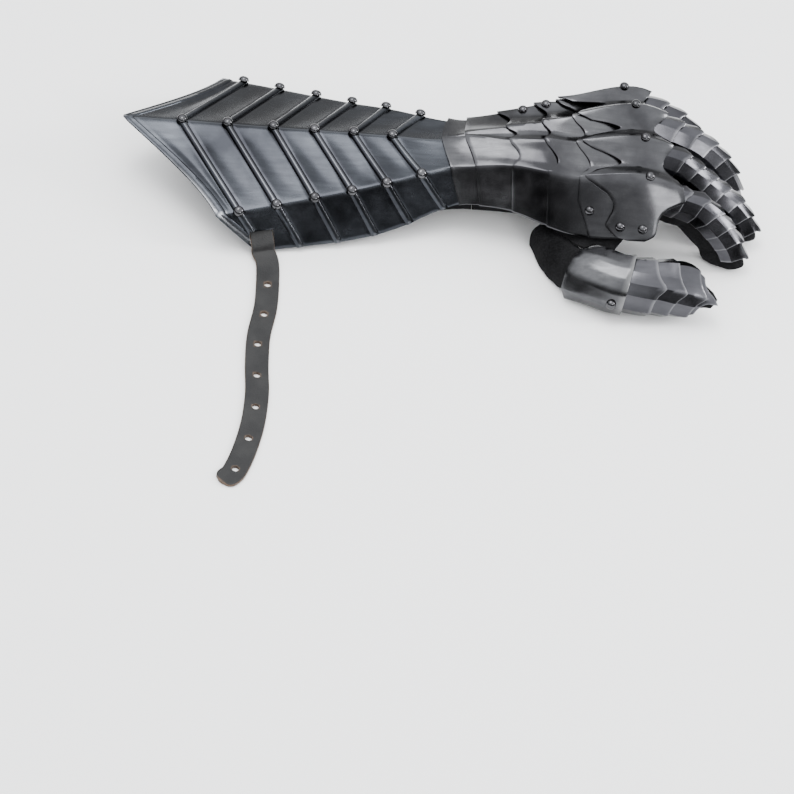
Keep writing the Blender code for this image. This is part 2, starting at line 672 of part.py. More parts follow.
def build_thumb(floor, guides, group, root):
    """Thumb: a suede stall rooted in the palm's edge, a bell-shaped base plate and four scales."""
    spine = spine_of(THUMB_PATH, 0.0, THUMB_UP)
    sizes = [(ring.wide, ring.deep) for ring in THUMB_RINGS]
    outer, inner = stall_rings(spine, THUMB_WIDTH * THUMB_SUEDE_SHARE, THUMB_DEPTH,
                               [r.cut for r in THUMB_RINGS], sizes, floor)
    for rings in (outer, inner):
        for ring in rings[:2]:
            for i, p in enumerate(ring):
                ring[i] = Vector((p.x, min(p.y, wall_y(p.x) - 1.5 * GAP), p.z))
    add_object("stall_thumb", tube_mesh("stall_thumb", outer, inner), SUEDE_BLACK, group, root)
    base_start = spine.length * THUMB_BASE_START
    base_end = spine.length * THUMB_BASE_END

    def base_size(s):
        return 1.0 + BASE_PLATE_BELL * (1.0 - (s - base_start) / (base_end - base_start))

    def thumb_size(s):
        left = max(0.0, 1.0 - (spine.length - s) / THUMB_TAPER_LENGTH)
        return 1.0 - THUMB_TAPER * left ** 2

    base = build_scale("thumb_base_plate", spine, base_start, base_end, THUMB_WIDTH * BASE_PLATE_SHARE,
                       THUMB_DEPTH, BASE_PLATE_LIFTS, base_size, group, root, point=0.0)
    starts = [base_end - SCALE_OVERLAP] + [spine.length * tip - SCALE_OVERLAP for tip in THUMB_TIPS[:-1]]
    for i, (start, tip) in enumerate(zip(starts, THUMB_TIPS)):
        end = spine.length * tip
        high = SCALE_SEAT + (SCALE_SHEET + GAP) * (end - start) / (end - start - SCALE_OVERLAP)
        lifts = (SCALE_SEAT, (SCALE_SEAT + high) / 2, high)
        build_scale("scale_thumb_%d" % (i + 1), spine, start, end, THUMB_WIDTH, THUMB_DEPTH, lifts, thumb_size,
                    group, root, point=THUMB_POINT)
    origin, ahead, across, up = spine.frame(base_end - THUMB_RIVET_BACK)
    side = section_normals(SCALE_LINES, THUMB_WIDTH, THUMB_DEPTH)[1]
    line = SCALE_LINES[1]
    seat = origin + across * (line.across * THUMB_WIDTH * BASE_PLATE_SHARE + side.x * THUMB_RIVET_LIFT)
    seat += up * (-line.down * THUMB_DEPTH + side.y * THUMB_RIVET_LIFT)
    join_heads(base, guides, [(seat, (across * side.x + up * side.y).normalized())])


# Suede hand and sleeve: how low the palm side hangs at shares of the arm's length
PALM_X = (0.20, 0.36, 0.53, 0.60, 0.70, 0.80, 0.91)
PALM_Z = (0.05, -0.05, -0.10, -0.14, -0.12, -0.04, 0.06)
WALL_SHARE = 0.84
HAND_START = 0.60 * ARM_LENGTH
HAND_END = 0.8775 * ARM_LENGTH
HAND_SKEW = 13.0 * MM
HAND_RINGS = 11
HAND_INSET = 1.1 * MM
SLEEVE_START = 0.285 * ARM_LENGTH
SLEEVE_SLANT = 16.0 * MM
SLEEVE_RINGS = 8
SLEEVE_INSET = 1.6 * MM
HAND_RING_LANES = (1, 2, 3, 4, 5, 6, 7)
SLEEVE_RING_LANES = (1, 1.65, 2.35, 4, 5.65, 6.35, 7)


def wall_y(x):
    """Across place of the hand's wall on the thumb side."""
    return lane_line(NEAR_HEM, x)[0] * WALL_SHARE


def palm_z(x):
    """Height of the suede on the palm side."""
    return smooth_curve([p * ARM_LENGTH for p in PALM_X], [p * PLATE_HEIGHT for p in PALM_Z], x)


def glove_ring(lanes, inset, x_at):
    """Ring of the suede around the hand or the arm; x_at gives its x in a lane."""
    def on_skin(lane, depth):
        return skin(x_at(lane), lane) - skin_normal(x_at(lane), lane) * depth

    near_x = x_at(NEAR_HEM)
    far_x = x_at(FAR_HEM)
    mid_x = (near_x + far_x) / 2
    rest = [on_skin(7.5, inset + MM), Vector((far_x, lane_line(FAR_HEM, far_x)[0] * WALL_SHARE, palm_z(far_x))),
            Vector((mid_x, 0.0, palm_z(mid_x) - MM)), Vector((near_x, wall_y(near_x), palm_z(near_x))),
            on_skin(0.5, inset + MM)]
    return [on_skin(lane, inset) for lane in lanes] + rest


def hand_ring(x):
    """Ring of the suede hand, its little-finger side set back toward the finger ends."""
    skew = HAND_SKEW * (x - HAND_START) / (HAND_END - HAND_START)
    return glove_ring(HAND_RING_LANES, HAND_INSET, lambda lane: x - skew * lane / FAR_HEM)


def sleeve_ring(x):
    """Ring of the suede sleeve, its upper side slanted forward toward the rim."""
    slant = SLEEVE_SLANT * (HAND_START - GAP - x) / (HAND_START - GAP - SLEEVE_START)
    return glove_ring(SLEEVE_RING_LANES, SLEEVE_INSET, lambda lane: x + slant * max(0.0, 1.0 - abs(lane - 4) / 3))


def build_glove(group, root):
    """Suede sleeve in the cuff and suede hand under the plates, both open tubes that meet at a seam."""
    step = (HAND_END - HAND_START) / (HAND_RINGS - 1)
    rings = [hand_ring(HAND_START + step * k) for k in range(HAND_RINGS)]
    add_object("glove_hand", open_tube_mesh("glove_hand", rings), SUEDE_BLACK, group, root)
    step = (HAND_START - GAP - SLEEVE_START) / (SLEEVE_RINGS - 1)
    rings = [sleeve_ring(SLEEVE_START + step * k) for k in range(SLEEVE_RINGS)]
    add_object("glove_sleeve", open_tube_mesh("glove_sleeve", rings), SUEDE_BLACK, group, root)


def open_tube_mesh(name, outer):
    """Tube with a suede wall, open at both ends."""
    inner = [shrink(ring, SUEDE) for ring in outer]
    sides = len(outer[0])
    count = len(outer)
    verts = [p for ring in outer for p in ring] + [p for ring in inner for p in ring]
    faces = []
    for layer in range(2):
        base = layer * count * sides
        for r in range(count - 1):
            for s in range(sides):
                n = (s + 1) % sides
                low = base + r * sides
                faces.append((low + s, low + n, low + sides + n, low + sides + s)[::1 - 2 * layer])
    for r, turn in ((0, -1), (count - 1, 1)):
        for s in range(sides):
            n = (s + 1) % sides
            faces.append((r * sides + s, r * sides + n, (count + r) * sides + n, (count + r) * sides + s)[::turn])
    mesh = bpy.data.meshes.new(name)
    mesh.from_pydata([tuple(v) for v in verts], [], faces)
    outward(mesh)
    return mesh


def ribbon_mesh(name, centre, across, thickness, width):
    """Closed flat strap along a centre line, thickness on its upper side."""
    verts = []
    for i, p in enumerate(centre):
        ahead = (centre[min(i + 1, len(centre) - 1)] - centre[max(i - 1, 0)]).normalized()
        side = across[i].normalized() * (width / 2)
        up = ahead.cross(across[i]).normalized() * thickness
        verts += [p - side, p + side, p + side + up, p - side + up]
    faces = [(0, 1, 2, 3), tuple(4 * (len(centre) - 1) + k for k in (3, 2, 1, 0))]
    for i in range(len(centre) - 1):
        for k in range(4):
            n = (k + 1) % 4
            faces.append((4 * i + k, 4 * i + 4 + k, 4 * i + 4 + n, 4 * i + n))
    mesh = bpy.data.meshes.new(name)
    mesh.from_pydata([tuple(v) for v in verts], [], faces)
    outward(mesh)
    return mesh


# The loose strap on the surface: shares of its reach out from the hem, and of its drift to the rim
STRAP_REACH = 220.0 * MM
StrapPoint = namedtuple("StrapPoint", "out drift")
STRAP_ROUTE = (
    StrapPoint(0.045, 0.018), StrapPoint(0.116, 0.022), StrapPoint(0.24, 0.018), StrapPoint(0.37, -0.001),
    StrapPoint(0.49, -0.004), StrapPoint(0.62, -0.001), StrapPoint(0.77, -0.017), StrapPoint(0.927, -0.061),
    StrapPoint(0.97, -0.10),
)
HOLE_PITCH = 28.6 * MM
FIRST_HOLE = 6.6 * MM
STRAP_X = 0.23625 * ARM_LENGTH
SLOT_LANE = 0.34
STRAP_LIFT = 2.7 * MM
STRAP_INSIDE = -5.0 * MM
STRAP_TURN_HEIGHT = 6.0 * MM
HEM_CLEARANCE = 1.2 * MM
# How far round a place a direction along the flank or the palm is measured
TANGENT_REACH = 8.0 * MM
# Cutters are this deep, well past any sheet
SLOT_CUT_DEPTH = 14.0 * MM
HOLE_CUT_DEPTH = 12.0 * MM
HOLE_SIDES = 8
STRAP_STATIONS = 40


def box_cutter(name, centre, axes, size, guides, root):
    """Box that a Boolean cuts with, its axes given as directions."""
    bpy.ops.mesh.primitive_cube_add(size=1.0)
    box = bpy.context.object
    box.name = name
    for owner in list(box.users_collection):
        owner.objects.unlink(box)
    guides.objects.link(box)
    turn = Matrix([a * s for a, s in zip(axes, size)]).transposed()
    box.data.transform(Matrix.Translation(centre) @ turn.to_4x4())
    if turn.determinant() < 0:
        box.data.flip_normals()
    box.hide_render = True
    box.display_type = "WIRE"
    box.parent = root
    return box


def cut_with(obj, cutter, name):
    """Cut an object with a cutter."""
    cut = obj.modifiers.new(name, "BOOLEAN")
    cut.operation = "DIFFERENCE"
    cut.solver = "EXACT"
    cut.object = cutter


def cut_strap_slot(cuff, guides, root):
    """Slot in the thumb-side flank that the forearm strap comes out of."""
    centre = skin(STRAP_X, SLOT_LANE)
    normal = skin_normal(STRAP_X, SLOT_LANE)
    along = Vector((1, 0, 0))
    along = (along - normal * along.dot(normal)).normalized()
    slot = box_cutter("slot_cutter", centre, (along, normal.cross(along), normal),
                      (SLOT_LENGTH, SLOT_HEIGHT, SLOT_CUT_DEPTH), guides, root)
    cut = cuff.modifiers.new("slot", "BOOLEAN")
    cut.operation = "DIFFERENCE"
    cut.solver = "MANIFOLD"
    cut.object = slot


def strap_across(centre, lane, floor):
    """Across directions of a strap that lies along a flank and then on the surface."""
    flat = Vector((math.cos(REST_PITCH), 0, -math.sin(REST_PITCH)))
    along = (skin(STRAP_X + TANGENT_REACH, lane) - skin(STRAP_X - TANGENT_REACH, lane)).normalized()
    across = []
    for i, point in enumerate(centre):
        ahead = centre[min(i + 1, len(centre) - 1)] - centre[max(i - 1, 0)]
        share = min(1.0, max(0.0, floor.height(point) / STRAP_TURN_HEIGHT))
        side = flat.lerp(along, share)
        across.append((side - ahead * (side.dot(ahead) / ahead.length_squared)).normalized())
    return across


def build_forearm_strap(floor, guides, group, root):
    """Loose leather strap through the flank's slot, out over the hem and flat on the surface."""
    knots = [lifted(STRAP_X, lane, lift) for lane, lift in
             ((0.72, STRAP_INSIDE), (0.52, STRAP_INSIDE), (0.19, STRAP_LIFT), (0.10, STRAP_LIFT),
              (0.01, STRAP_LIFT))]
    hem_y = lane_line(NEAR_HEM, STRAP_X)[0]
    for route in STRAP_ROUTE:
        x = STRAP_X + route.drift * STRAP_REACH
        knots.append(floor.under(x, hem_y - route.out * STRAP_REACH))
    knots[5] += floor.normal * HEM_CLEARANCE
    line = Spine(knots, 0.0)
    inner = [knots[0], knots[1]]
    start = line.stations[2]
    centre = inner + [line.at(start + (line.length - start) * k / STRAP_STATIONS)
                      for k in range(STRAP_STATIONS + 1)]
    centre = [floor.rest(p) for p in centre]
    across = strap_across(centre, NEAR_HEM + 0.3, floor)
    mesh = ribbon_mesh("forearm_strap", centre, across, STRAP_THICKNESS, STRAP_WIDTH)
    strap = add_object("forearm_strap", mesh, LEATHER_BLACK, group, root)
    work = bmesh.new()
    for k in range(HOLE_COUNT):
        place = line.at(line.stations[6] + FIRST_HOLE + k * HOLE_PITCH)
        turn = floor.normal.to_track_quat("Z", "X").to_matrix().to_4x4()
        bmesh.ops.create_cone(work, cap_ends=True, segments=HOLE_SIDES, radius1=HOLE_RADIUS, radius2=HOLE_RADIUS,
                              depth=HOLE_CUT_DEPTH, matrix=Matrix.Translation(place) @ turn)
    mesh = bpy.data.meshes.new("hole_cutters")
    work.to_mesh(mesh)
    work.free()
    holes = bpy.data.objects.new("hole_cutters", mesh)
    guides.objects.link(holes)
    holes.hide_render = True
    holes.display_type = "WIRE"
    holes.parent = root
    cut_with(strap, holes, "holes")
    return strap


PALM_STRAP_X = 0.75 * ARM_LENGTH
PALM_STRAP_CLEAR = 0.8 * MM
PALM_STRAP_THICKNESS = 1.8 * MM
# Along the hand's ring, from the thumb side's corner to the other
PALM_STRAP_PLACES = (10.0, 9.5, 9.0, 8.5, 8.0)


def build_palm_strap(group, root):
    """Strap across the palm, close under the suede."""
    def on_ring(x, place):
        ring = shrink(hand_ring(x), -PALM_STRAP_CLEAR)
        whole = int(place)
        return ring[whole].lerp(ring[whole + 1], place - whole)

    centre = []
    across = []
    for place in PALM_STRAP_PLACES:
        centre.append(on_ring(PALM_STRAP_X, place))
        across.append(on_ring(PALM_STRAP_X + TANGENT_REACH, place) - on_ring(PALM_STRAP_X - TANGENT_REACH, place))
    mesh = ribbon_mesh("palm_strap", centre, across, PALM_STRAP_THICKNESS, PALM_STRAP_WIDTH)
    return add_object("palm_strap", mesh, LEATHER_BLACK, group, root)


BAR_Y = 46.0 * MM
BAR_HEIGHT = 4.8 * MM
BUCKLE_FRONT_HEIGHT = 1.9 * MM
TONGUE_RADIUS = 1.1 * MM
# The frame's cut corners
FRAME_NIP = 3.0 * MM
# How far the tongue's end stands past the frame's front and over it
TONGUE_PAST = 1.0 * MM
TONGUE_CLEAR = 0.3 * MM
# The chape's lanes inside the flank, then its distances from the hem and from the bar
CHAPE_LANES = (7.35, 7.6, 7.78)
CHAPE_LANDING = 5.0 * MM
CHAPE_LANDING_HEIGHT = 1.0 * MM
CHAPE_FLAT = 10.0 * MM
CHAPE_LOOP_START = 7.0 * MM
CHAPE_LOOP_END = 8.0 * MM
CHAPE_LOOP_LIFT = 0.8 * MM
CHAPE_END = 16.0 * MM
# The slot in the chape's bend that the tongue works in
TONGUE_SLOT_WIDTH = 5.0 * MM
TONGUE_SLOT_LEAD = 7.0 * MM
TONGUE_SLOT_CLEAR = 0.8 * MM


def wire_mesh(name, points, radius, cyclic):
    """Round wire along points as a welded mesh."""
    curve = bpy.data.curves.new(name, "CURVE")
    curve.dimensions = "3D"
    curve.bevel_depth = radius
    curve.bevel_resolution = 2
    curve.use_fill_caps = True
    spline = curve.splines.new("POLY")
    spline.points.add(len(points) - 1)
    for place, point in zip(spline.points, points):
        place.co = (*point, 1.0)
    spline.use_cyclic_u = cyclic
    obj = bpy.data.objects.new(name + "_wire", curve)
    bpy.context.scene.collection.objects.link(obj)
    mesh = bpy.data.meshes.new_from_object(obj.evaluated_get(bpy.context.evaluated_depsgraph_get()))
    mesh.name = name
    bpy.data.objects.remove(obj, do_unlink=True)
    work = bmesh.new()
    work.from_mesh(mesh)
    bmesh.ops.remove_doubles(work, verts=work.verts, dist=0.00001)
    work.to_mesh(mesh)
    work.free()
    mesh.materials.clear()
    outward(mesh)
    return mesh


def build_buckle(floor, guides, group, root):
    """Buckle on its short leather chape inside the far flank, lying under the cuff."""
    def place(y, height, dx=0.0):
        return floor.under(STRAP_X, y) + Vector((math.cos(REST_PITCH), 0, -math.sin(REST_PITCH))) * dx \
            + floor.normal * height

    front_y = BAR_Y - BUCKLE_LENGTH + 2 * BUCKLE_WIRE
    half = BUCKLE_BREADTH / 2 - BUCKLE_WIRE
    nip = FRAME_NIP
    outline = [(BAR_Y, -half + nip, 0), (BAR_Y, half - nip, 0), (BAR_Y - nip, half, 0), (front_y + nip, half, 1),
               (front_y, half - nip, 1), (front_y, -half + nip, 1), (front_y + nip, -half, 1), (BAR_Y - nip, -half, 0)]
    points = []
    for y, dx, front in outline:
        share = (BAR_Y - y) / (BAR_Y - front_y)
        points.append(place(y, BAR_HEIGHT + (BUCKLE_FRONT_HEIGHT - BAR_HEIGHT) * share, dx))
    add_object("buckle_frame", wire_mesh("buckle_frame", points, BUCKLE_WIRE, True), NICKEL, group, root)
    hook = BUCKLE_WIRE + GAP + TONGUE_RADIUS
    path = [place(BAR_Y + hook * math.cos(a), BAR_HEIGHT + hook * math.sin(a)) for a in
            [math.radians(d) for d in range(-150, 91, 30)]]
    path.append(place(front_y - TONGUE_PAST, BUCKLE_FRONT_HEIGHT + BUCKLE_WIRE + GAP + TONGUE_RADIUS + TONGUE_CLEAR))
    add_object("buckle_tongue", wire_mesh("buckle_tongue", path, TONGUE_RADIUS, False), NICKEL, group, root)
    hem_y = lane_line(FAR_HEM, STRAP_X)[0]
    centre = [lifted(STRAP_X, lane, -GAP) for lane in CHAPE_LANES]
    centre.append(place(hem_y - CHAPE_LANDING, CHAPE_LANDING_HEIGHT))
    centre.append(place(hem_y - CHAPE_FLAT, 0.0))
    centre.append(place(BAR_Y + CHAPE_LOOP_START, 0.0))
    for degrees in (-90, -130, 180, 130, 90):
        angle = math.radians(degrees)
        centre.append(place(BAR_Y + BAR_HEIGHT * math.cos(angle), BAR_HEIGHT + BAR_HEIGHT * math.sin(angle)))
    layer = 2 * STRAP_THICKNESS + GAP
    centre.append(place(BAR_Y + CHAPE_LOOP_END, layer + CHAPE_LOOP_LIFT))
    centre.append(place(BAR_Y + CHAPE_END, layer))
    flat = Vector((math.cos(REST_PITCH), 0, -math.sin(REST_PITCH)))
    across = strap_across(centre[:4], FAR_HEM - 0.4, floor) + [flat.copy() for _ in centre[4:]]
    mesh = ribbon_mesh("buckle_chape", centre, across, STRAP_THICKNESS, STRAP_WIDTH)
    chape = add_object("buckle_chape", mesh, LEATHER_BLACK, group, root)
    reach = hook + TONGUE_RADIUS + TONGUE_SLOT_CLEAR
    size = (TONGUE_SLOT_WIDTH, reach + TONGUE_SLOT_LEAD, SLOT_CUT_DEPTH)
    slot = box_cutter("chape_cutter", place(BAR_Y + (reach - TONGUE_SLOT_LEAD) / 2, BAR_HEIGHT),
                      (flat, Vector((0, 1, 0)), floor.normal), size, guides, root)
    cut_with(chape, slot, "tongue_slot")
    return chape


def main():
    """Build the gauntlet and lay it on the surface, its box centred on the origin."""
    clear_scene()
    group = make_collection(COLLECTION_NAME)
    guides = make_collection("cutters")
    root = bpy.data.objects.new("rest_pose", None)
    group.objects.link(root)
    cuff = build_cuff(group, guides, root)
    bpy.context.view_layer.update()
    floor = Floor(evaluated_points(cuff))
    build_hand_plates(group, guides, root)
    for finger in FINGERS:
        build_finger(finger, floor, group, root)
    build_thumb(floor, guides, group, root)
    build_glove(group, root)
    build_forearm_strap(floor, guides, group, root)
    build_palm_strap(group, root)
    build_buckle(floor, guides, group, root)
    bpy.context.view_layer.update()
    tilt = Matrix.Rotation(-REST_PITCH, 3, "Y")
    corners = np.array([tilt @ p for obj in group.objects if obj.type == "MESH" for p in evaluated_points(obj)])
    centre = (corners.min(axis=0) + corners.max(axis=0)) / 2
    root.rotation_euler = (0.0, -REST_PITCH, 0.0)
    root.location = (-centre[0], -centre[1], -corners[:, 2].min())


main()
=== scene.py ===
"""Looks of the armoured gauntlet: a left-hand plate gauntlet over a suede glove, lying palm down.

Every mesh is drawn in the gauntlet's level frame, with +X from the cuff's rim to the finger ends, +Y to
the little-finger side and +Z through the back of the hand, and is then tilted up onto the surface that
the gauntlet lies on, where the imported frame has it.
"""
import logging
import math
from collections import namedtuple
from dataclasses import dataclass, field
from enum import Enum
from typing import Callable, Dict, List, Optional, Sequence, Tuple

import bmesh
import bpy
from mathutils import Matrix, Vector, noise


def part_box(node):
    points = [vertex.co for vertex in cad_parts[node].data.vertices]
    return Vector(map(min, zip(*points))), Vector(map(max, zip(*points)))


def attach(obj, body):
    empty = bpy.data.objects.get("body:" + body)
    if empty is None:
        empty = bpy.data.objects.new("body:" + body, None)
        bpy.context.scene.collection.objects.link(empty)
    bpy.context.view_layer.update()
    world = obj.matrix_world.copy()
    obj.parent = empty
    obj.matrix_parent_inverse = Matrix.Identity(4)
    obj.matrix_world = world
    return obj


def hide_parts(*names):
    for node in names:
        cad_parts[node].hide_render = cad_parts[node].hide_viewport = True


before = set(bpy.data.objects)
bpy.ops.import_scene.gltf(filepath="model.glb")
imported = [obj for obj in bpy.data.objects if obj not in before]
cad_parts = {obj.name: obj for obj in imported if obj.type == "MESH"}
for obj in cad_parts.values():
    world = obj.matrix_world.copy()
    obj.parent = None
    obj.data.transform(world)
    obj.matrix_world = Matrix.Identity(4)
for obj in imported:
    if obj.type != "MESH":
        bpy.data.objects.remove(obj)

LOG = logging.getLogger("gauntlet")
MM = 0.001

Grid = List[List[Vector]]
Colour = Tuple[float, float, float]


class Lane(Enum):
    """Lines that run along the gauntlet, counted across it from the thumb side."""

    NEAR_HEM = 0
    INDEX = 1
    MIDDLE = 3
    RING = 5
    LITTLE = 7
    FAR_HEM = 8


def smooth_curve(knots: Sequence[float], values: Sequence[float], x: float) -> float:
    """Read a smooth curve through knots and values, straight beyond its ends.

    Args:
        knots: rising places.
        values: the value at each place.
        x: where to read.

    Returns:
        The value at x.
    """
    if x <= knots[0]:
        i = 0
    elif x >= knots[-1]:
        i = len(knots) - 2
    else:
        i = max(k for k in range(len(knots) - 1) if knots[k] <= x)
    step = knots[i + 1] - knots[i]
    u = (x - knots[i]) / step
    rise = (values[i + 1] - values[i]) / step
    if u < 0.0 or u > 1.0:
        return values[i] + (values[i + 1] - values[i]) * u
    before = rise if i == 0 else (values[i + 1] - values[i - 1]) / (knots[i + 1] - knots[i - 1])
    last = i + 2 > len(knots) - 1
    after = rise if last else (values[i + 2] - values[i]) / (knots[i + 2] - knots[i])
    h00 = 2 * u ** 3 - 3 * u ** 2 + 1
    h10 = u ** 3 - 2 * u ** 2 + u
    h01 = -2 * u ** 3 + 3 * u ** 2
    h11 = u ** 3 - u ** 2
    return h00 * values[i] + h10 * step * before + h01 * values[i + 1] + h11 * step * after


def smooth_step(share: float) -> float:
    """Ease a share between 0 and 1."""
    share = min(1.0, max(0.0, share))
    return share * share * (3.0 - 2.0 * share)


# The sections that every plate follows: x as a share of the arm's length; a line's place as (across as a
# share of the knuckle breadth, height as a share of the plate height); dip of the valleys between ridges.
Section = namedtuple("Section", "x near_hem index middle ring little far_hem dip")
Place = Tuple[float, float]
CROWN_HALF = 0.006


def cuff_section(x: float, hem: Place, ridge: Place, crown: float) -> Section:
    """Section that is the same on both sides, its two middle ridges drawn together at the crown."""
    near_hem, near_ridge = ((-across, height) for across, height in (hem, ridge))
    return Section(x, near_hem, near_ridge, (-CROWN_HALF, crown), (CROWN_HALF, crown), ridge, hem, 0.0)


SECTIONS = (
    cuff_section(0.000, (0.98, 0.06), (0.876, 0.56), 1.12),
    cuff_section(0.161, (0.83, 0.00), (0.697, 0.554), 0.974),
    cuff_section(0.228, (0.757, -0.01), (0.625, 0.55), 0.91),
    cuff_section(0.384, (0.60, -0.12), (0.451, 0.52), 0.768),
    cuff_section(0.460, (0.51, -0.10), (0.366, 0.536), 0.698),
    cuff_section(0.550, (0.37, 0.03), (0.242, 0.54), 0.616),
    Section(0.590, (-0.35, 0.08), (-0.23, 0.55), (-0.012, 0.68),
            (0.012, 0.684), (0.23, 0.53), (0.35, 0.08), 0.01),
    Section(0.668, (-0.40, 0.04), (-0.257, 0.61), (-0.09, 0.75),
            (0.03, 0.77), (0.23, 0.69), (0.38, 0.12), 0.03),
    Section(0.727, (-0.50, -0.05), (-0.323, 0.62), (-0.122, 0.81),
            (0.038, 0.84), (0.258, 0.78), (0.42, 0.16), 0.05),
    Section(0.779, (-0.57, -0.12), (-0.36, 0.57), (-0.14, 0.79),
            (0.051, 0.91), (0.29, 0.79), (0.48, 0.20), 0.08),
    Section(0.889, (-0.64, -0.11), (-0.39, 0.60), (-0.125, 0.81),
            (0.14, 0.916), (0.40, 0.77), (0.58, 0.28), 0.13),
    Section(0.965, (-0.64, -0.16), (-0.41, 0.38), (-0.135, 0.60),
            (0.13, 0.66), (0.39, 0.43), (0.57, 0.04), 0.07),
    Section(1.000, (-0.64, -0.24), (-0.42, 0.28), (-0.14, 0.48),
            (0.125, 0.54), (0.385, 0.30), (0.56, -0.12), 0.05),
)


@dataclass
class PlateSurface:
    """The one surface under all steel plates, lofted through the sections."""

    arm_length: float = 400 * MM
    knuckle_breadth: float = 100 * MM
    plate_height: float = 50 * MM
    step: float = 0.5 * MM
    first: float = -30 * MM
    last: float = 450 * MM
    lines: Dict[int, List[Tuple[float, float]]] = field(default_factory=dict)
    dips: List[float] = field(default_factory=list)

    def __post_init__(self) -> None:
        """Sample each line finely once, so that points are quick to read."""
        knots = [row.x * self.arm_length for row in SECTIONS]
        count = int((self.last - self.first) / self.step) + 2
        places = [self.first + k * self.step for k in range(count)]
        for lane in Lane:
            along = [getattr(row, lane.name.lower()) for row in SECTIONS]
            across = [place[0] * self.knuckle_breadth for place in along]
            height = [place[1] * self.plate_height for place in along]
            self.lines[lane.value] = [(smooth_curve(knots, across, x), smooth_curve(knots, height, x))
                                      for x in places]
        depth = [row.dip * self.plate_height for row in SECTIONS]
        self.dips = [max(0.0, smooth_curve(knots, depth, x)) for x in places]

    def _at(self, x: float) -> Tuple[int, float]:
        """Sample before x and the share of the way to the next one."""
        place = (min(max(x, self.first), self.last) - self.first) / self.step
        return int(place), place - int(place)

    def line(self, lane: int, x: float) -> Tuple[float, float]:
        """Across and height of a hem's or ridge's line at x."""
        k, share = self._at(x)
        low, high = self.lines[lane][k], self.lines[lane][k + 1]
        return low[0] + (high[0] - low[0]) * share, low[1] + (high[1] - low[1]) * share

    def point(self, x: float, lane: float) -> Vector:
        """Point of the surface.

        Args:
            x: distance from the rim's point.
            lane: place across, as Lane counts it, with the valleys at the even numbers between.

        Returns:
            The point, in the level frame.
        """
        low, high = lane_span(lane)
        share = (lane - low) / (high - low)
        a, b = self.line(low, x), self.line(high, x)
        y = a[0] + (b[0] - a[0]) * share
        z = a[1] + (b[1] - a[1]) * share
        if 1 <= low < 7:
            k, part = self._at(x)
            dip = self.dips[k] + (self.dips[k + 1] - self.dips[k]) * part
            z -= dip * math.sin(math.pi * share)
        return Vector((x, y, z))

    def normal(self, x: float, lane: float) -> Vector:
        """Outward direction, the mean of both sides at a ridge."""
        here = self.point(x, lane)
        across = Vector()
        for side in (-1, 1):
            there = lane + side * 0.2
            if 0 <= there <= 8:
                across += (self.point(x, there) - here).normalized() * side
        along = self.point(x + MM, lane) - self.point(x - MM, lane)
        return along.cross(across).normalized()

    def lifted(self, x: float, lane: float, lift: float) -> Vector:
        """Point at a height over the surface."""
        return self.point(x, lane) + self.normal(x, lane) * lift


def lane_span(lane: float) -> Tuple[int, int]:
    """The hem or ridge lanes on either side of a lane."""
    for low, high in ((0, 1), (1, 3), (3, 5), (5, 7)):
        if lane < high:
            return low, high
    return 7, 8


@dataclass
class Resting:
    """How the level frame lies in the row frame: pitched up, then moved to where the frame has it."""

    surface: PlateSurface
    pitch: float = math.radians(8.0)
    location: Vector = field(default_factory=Vector)

    def turn(self) -> Matrix:
        """The tilt alone."""
        return Matrix.Rotation(-self.pitch, 3, "Y")

    def settle(self, node: str, points: Sequence[Vector]) -> None:
        """Find the location from one CAD node's box and the same node's points in the level frame."""
        turned = [self.turn() @ p for p in points]
        low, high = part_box(node)
        for axis in range(3):
            middle = (min(p[axis] for p in turned) + max(p[axis] for p in turned)) / 2
            self.location[axis] = (low[axis] + high[axis]) / 2 - middle

    def place(self, point: Vector) -> Vector:
        """A level point in the row frame."""
        return self.turn() @ point + self.location

    def height(self, point: Vector) -> float:
        """Height of a level point over the surface that the gauntlet lies on."""
        return self.place(point).z

    def up(self) -> Vector:
        """The surface's upward direction in the level frame."""
        return Vector((math.sin(self.pitch), 0.0, math.cos(self.pitch)))

    def under(self, x: float, y: float, height: float = 0.0) -> Vector:
        """Level point at a height over the surface, above or below a place."""
        start = Vector((x, y, 0.0))
        return start - self.up() * (self.height(start) - height)

    def rest(self, point: Vector, clear: float = 0.0) -> Vector:
        """The point itself, or where it is pressed flat on the surface."""
        return point - self.up() * min(0.0, self.height(point) - clear)


def sampled(low: float, high: float, count: int) -> List[float]:
    """Evenly spaced values from low to high, both ends included."""
    return [low + (high - low) * k / (count - 1) for k in range(count)]


def sheet_mesh(name: str, rows: Grid) -> bpy.types.Mesh:
    """Open mesh over a grid of points, rows along the arm and columns across it.

    Args:
        name: the mesh's name.
        rows: the points, each row as long as the first.

    Returns:
        The mesh, its normals outward.
    """
    wide = len(rows[0])
    faces = []
    for r in range(len(rows) - 1):
        for c in range(wide - 1):
            a = r * wide + c
            faces.append((a, a + wide, a + wide + 1, a + 1))
    mesh = bpy.data.meshes.new(name)
    mesh.from_pydata([tuple(p) for row in rows for p in row], [], faces)
    return mesh


